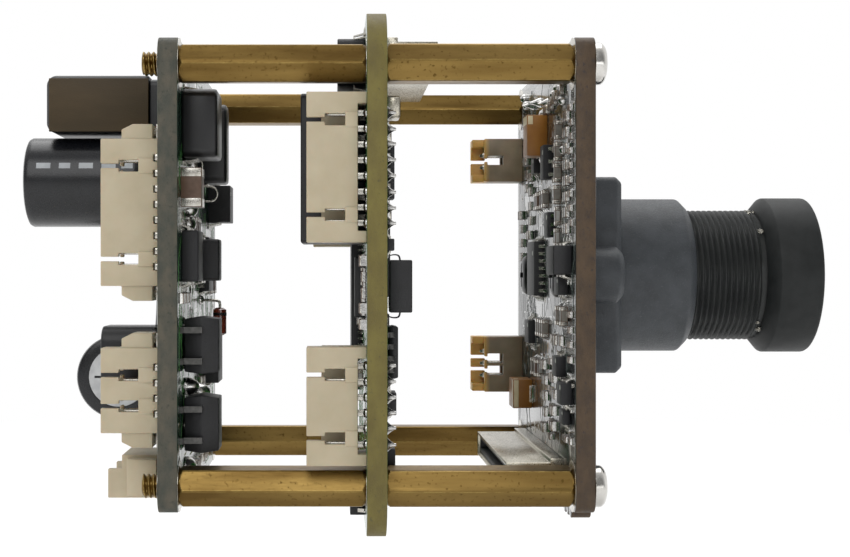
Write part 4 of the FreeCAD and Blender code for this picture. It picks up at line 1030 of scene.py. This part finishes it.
# leads of the larger parts on two opposite sides, with their width and reach in millimetres
extraLeads = {
    ("rear_board", "front"): [
        dict(node="regulator", alongZ=True, count=4, width=0.4, reach=0.8),
        dict(node="controller", alongZ=True, count=2, width=0.9, reach=0.6),
        dict(node="power_inductor", alongZ=True, count=1, width=2.2, reach=0.5),
        dict(node="second_inductor", alongZ=True, count=1, width=1.8, reach=0.5)],
    ("middle_board", "rear"): [
        dict(node="network_transformer", alongZ=False, count=8, width=0.45, reach=0.9),
        dict(node="main_processor", alongZ=True, count=22, width=0.22, reach=0.5),
        dict(node="main_processor", alongZ=False, count=22, width=0.22, reach=0.5),
        dict(node="serial_port_driver", alongZ=True, count=5, width=0.42, reach=0.8),
        dict(node="network_chip", alongZ=True, count=8, width=0.24, reach=0.35),
        dict(node="network_chip", alongZ=False, count=8, width=0.24, reach=0.35),
        dict(node="memory_chip", alongZ=False, count=9, width=0.3, reach=0.5)],
    ("sensor_board", "rear"): [
        dict(node="sensor_supply_chip", alongZ=True, count=3, width=0.4, reach=0.6)],
}
extraMargin, extraExit = 0.9 * mm, 0.4
bm = bmesh.new()
for board, rows in extraLeads.items():
    for row in rows:
        low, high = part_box(row["node"])
        span = (high.y - low.y if row["alongZ"] else high.z - low.z) - extraMargin
        addLeadRows(bm, low, high, boardFace(*board), row["alongZ"], row["count"], span, extraExit,
                    row["width"] * mm, row["reach"] * mm)

# the surge diode's two thin tabs curve out of its ends and down to the board
tabValues = lengths(apart=1.2, radius=0.045, height=(0.9, 0.75, 0.3), out=(-0.1, 0.35, 0.42, 0.25))
v = tabValues
low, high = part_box("surge_diode")
face, way = boardFace("middle_board", "front")
heights = [low.x + height for height in v["height"]] + [face]
for edge, end in ((low.z, -1), (high.z, 1)):
    for side in (-0.5, 0.5):
        y = middle(low, high)[1] + side * v["apart"]
        path = [(x, y, edge + end * out) for x, out in zip(heights, v["out"])]
        addWire(bm, path, v["radius"], 0, sides=8)
asPiece(bm, ["blackSteel", "tin", "solder"], name="partLeads", slot="tin")

# Wired parts and hand-soldered spots on the front of the rear board: 0 glass, 1 the diode's band,
# 2 wire, 3 solder. Wires go from one Y and Z to another in an arch of some height, and pools have
# their Y and Z and their half-widths, all in millimetres.
wiredValues = dict(
    lengths(height=3.45, y=1.0, z=-4.3, radius=0.62, half=1.3, shoulder=0.2, tip=0.02, band=0.28,
            bandFrom=0.75, leadRadius=0.13, root=0.1, bend=(0.35, 0.62), leadOut=0.7, inward=0.25, bead=0.45,
            wireRadius=0.09),
    tipShare=0.55, bandShare=1.02, archShare=0.8, wireBead=(0.4, 0.35, 0.35),
    wires=[((-10.2, 9.9), (-9.6, 8.6), 1.2), ((-6.6, 7.7), (-6.3, 6.5), 2.2)],
    pools=[((-11.6, 5.6), (1.0, 0.8, 0.9)), ((-11.2, 4.3), (0.8, 0.9, 0.8)),
           ((-12.4, -9.3), (1.2, 0.8, 0.75)), ((-9.9, 8.0), (0.7, 0.6, 0.6)),
           ((-12.0, -16.0), (0.9, 1.2, 0.8)), ((-3.5, -10.4), (1.4, 0.9, 0.8))])
v = wiredValues
face, way = boardFace("rear_board", "front")
bm = bmesh.new()
x, y, radius = v["height"], v["y"], v["radius"]
bottom, top = v["z"] - v["half"], v["z"] + v["half"]
tip = radius * v["tipShare"]
glass = [(bottom, 0.0), (bottom + v["tip"], tip), (bottom + v["shoulder"], radius),
         (top - v["shoulder"], radius), (top - v["tip"], tip), (top, 0.0)]
start, bandRadius = top - v["bandFrom"], radius * v["bandShare"]
stop = start + v["band"]
band = [(start, 0.0), (start, bandRadius), (stop, bandRadius), (stop, 0.0)]
for rings, material in ((glass, 0), (band, 1)):
    addTurned(bm, rings, (x, y, 0), along="z", count=24, material=material)
for z, end in ((bottom, -1), (top, 1)):
    foot = (face, y, z + end * v["leadOut"])
    addWire(bm, [(x, y, z - end * v["root"]), (x, y, z + end * v["bend"][0]),
                 (x - v["inward"], y, z + end * v["bend"][1]), foot], v["leadRadius"], 2, sides=8)
    addBead(bm, foot, 3 * [v["bead"]], 3)
for (y0, z0), (y1, z1), height in v["wires"]:
    rise = v["archShare"] * height
    path = [(0, y0, z0), (rise, y0, z0), (height, (y0 + y1) / 2, (z0 + z1) / 2), (rise, y1, z1), (0, y1, z1)]
    addWire(bm, [(face + x * mm, y * mm, z * mm) for x, y, z in path], v["wireRadius"], 2, sides=8)
    for y, z in ((y0, z0), (y1, z1)):
        addBead(bm, (face, y * mm, z * mm), [part * mm for part in v["wireBead"]], 3)
for (y, z), size in v["pools"]:
    addBead(bm, (face, y * mm, z * mm), [part * mm for part in size], 3, rings=10, count=18)
asPiece(bm, ["redGlass", "blackMoulding", "tin", "solder"], name="wiredParts", slot="tin", sharp=50)

# solder round the upper tantalum capacitors: mounds with their Y and Z, height and half-width, and
# pointed joints with their Y and Z and height, all in millimetres
sensorSolder = dict(
    lengths(foot=0.496, tip=0.06, lip=0.02), power=1.6,
    mounds=[(13.4, 17.7, 0.5, 0.5), (12.2, 16.9, 0.4, 0.45), (-10.1, 15.9, 0.55, 0.5),
            (-7.0, 15.7, 0.4, 0.4), (-12.6, 14.6, 0.5, 0.45), (-12.9, 10.4, 0.45, 0.4)],
    points=[(6.6, 16.3, 1.1), (1.6, 16.0, 1.2), (-3.1, 15.4, 0.9)])
v = sensorSolder
bm = bmesh.new()
face, way = boardFace("sensor_board", "rear")
for y, z, tall, wide in v["mounds"]:
    addBead(bm, (face, y * mm, z * mm), (tall * mm, wide * mm, wide * mm), rings=8, count=14)
for y, z, tall in v["points"]:
    rings = [(face + v["lip"], v["foot"])]
    for t in (0.2, 0.4, 0.6, 0.8, 1.0):
        rings.append((face - tall * mm * t, v["foot"] * (1 - t) ** v["power"] + v["tip"]))
    addTurned(bm, rings + [(face - tall * 1.03 * mm, 0.0)], (0, y * mm, z * mm), count=16)
asPiece(bm, ["solder"], name="sensorSolder", slot="solder", sharp=50)

# carried-over nodes: the inner optics
glassLooks = dict(rear_glass="lensGlass", middle_glass="lensGlass", front_glass="lensGlass",
                  sensor_glass="filterGlass", infrared_filter="filterGlass")
for node, look in glassLooks.items():
    cadPiece = frame["nodes"][node]
    cadPiece.data.materials.clear()
    cadPiece.data.materials.append(finishes[look])
print("soldered parts done")


studio = dict(drop=20 * mm, floorSize=6.0, floorTone=(0.96, 0.96, 0.96, 1), floorFade=(0.12, 0.30),
              worldLevel=0.96, skyDark=0.27, skyFrom=(-0.66, 0.15), mirrorFrom=(0.0, 0.2))
low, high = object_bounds()
middleX = (low.x + high.x) / 2

# far from the object the floor is plain white, as the backdrop is
floorMaterial = bpy.data.materials.new("paleFloor")
floorMaterial.use_nodes = True
tree = floorMaterial.node_tree
shader = tree.nodes["Principled BSDF"]
shader.inputs["Base Color"].default_value = studio["floorTone"]
shader.inputs["Roughness"].default_value = 0.8
shader.inputs["Specular IOR Level"].default_value = 0.1
coords = addNode(tree, "TexCoord")
distance = addNode(tree, "VectorMath", {0: coords.outputs["Object"]}, operation="LENGTH").outputs["Value"]
white = addNode(tree, "Emission", {"Strength": 1.0})
far = remap(tree, distance, *studio["floorFade"])
mix = addNode(tree, "MixShader", {"Fac": far, 1: shader.outputs["BSDF"], 2: white.outputs["Emission"]})
tree.links.new(mix.outputs["Shader"], tree.nodes["Material Output"].inputs["Surface"])
bm = bmesh.new()
half = studio["floorSize"] / 2
bm.faces.new([bm.verts.new((x * half, y * half, 0)) for x, y in ((-1, -1), (1, -1), (1, 1), (-1, 1))])
mesh = meshFrom(bm, "floor")
mesh.materials.append(floorMaterial)
floor = linkObject("floor", mesh)
floor.location = (middleX, 0, low.z - studio["drop"])

# the backdrop is white to the eye, through glass, and as metal mirrors it from behind the object; the
# side that the photograph is taken from is dimmer than the rest of the room
world = bpy.data.worlds.new("studio")
scene.world = world
world.use_nodes = True
tree = world.node_tree
rays = addNode(tree, "LightPath").outputs
coords = addNode(tree, "TexCoord")
heading = addNode(tree, "SeparateXYZ", {"Vector": coords.outputs["Generated"]}).outputs["Y"]
mirrored = combine(tree, "MULTIPLY", rays["Is Glossy Ray"], remap(tree, heading, *studio["mirrorFrom"]))
seen = combine(tree, "MAXIMUM", rays["Is Camera Ray"], rays["Is Transmission Ray"])
seen = combine(tree, "MAXIMUM", seen, mirrored)
around = remap(tree, heading, *studio["skyFrom"], studio["skyDark"], studio["worldLevel"])
level = addNode(tree, "Mix", {"Factor": seen, "A": around, "B": 1.0})
tree.links.new(level.outputs["Result"], tree.nodes["Background"].inputs["Strength"])
tree.nodes["Background"].inputs["Color"].default_value = (1, 1, 1, 1)

lamps = [
    dict(name="keyLamp", spot=(-0.11, -0.43, 0.31), size=0.40, power=1.15),
    dict(name="fillLamp", spot=(0.26, -0.46, -0.16), size=0.45, power=0.75),
    dict(name="topLamp", spot=(0.02, 0.18, 0.46), size=0.42, power=1.1),
]
for lamp in lamps:
    light = bpy.data.lights.new(lamp["name"], "AREA")
    light.shape = "SQUARE"
    light.size = lamp["size"]
    light.energy = lamp["power"]
    holder = linkObject(lamp["name"], light)
    holder.location = lamp["spot"]
    aim = Vector((middleX, 0, 0)) - Vector(lamp["spot"])
    holder.rotation_euler = aim.to_track_quat("-Z", "Y").to_euler()

# the camera looks along Y, and its shift sets the photograph's own centre
view = dict(spot=(14.1 * mm, -139 * mm, 0.0), focalPixels=1514, width=850, height=557, centreX=335,
            centreY=275, sensor=36)
cameraData = bpy.data.cameras.new("camera")
cameraData.sensor_width = view["sensor"]
cameraData.lens = view["focalPixels"] / view["width"] * view["sensor"]
cameraData.shift_x = (view["width"] / 2 - view["centreX"]) / view["width"]
cameraData.shift_y = -(view["height"] / 2 - view["centreY"]) / view["width"]
cameraData.clip_start = 0.005
camera = linkObject("camera", cameraData)
camera.location = view["spot"]
camera.rotation_euler = (math.radians(90), 0, 0)
scene.camera = camera
scene.view_settings.view_transform = "Standard"
print("studio done")
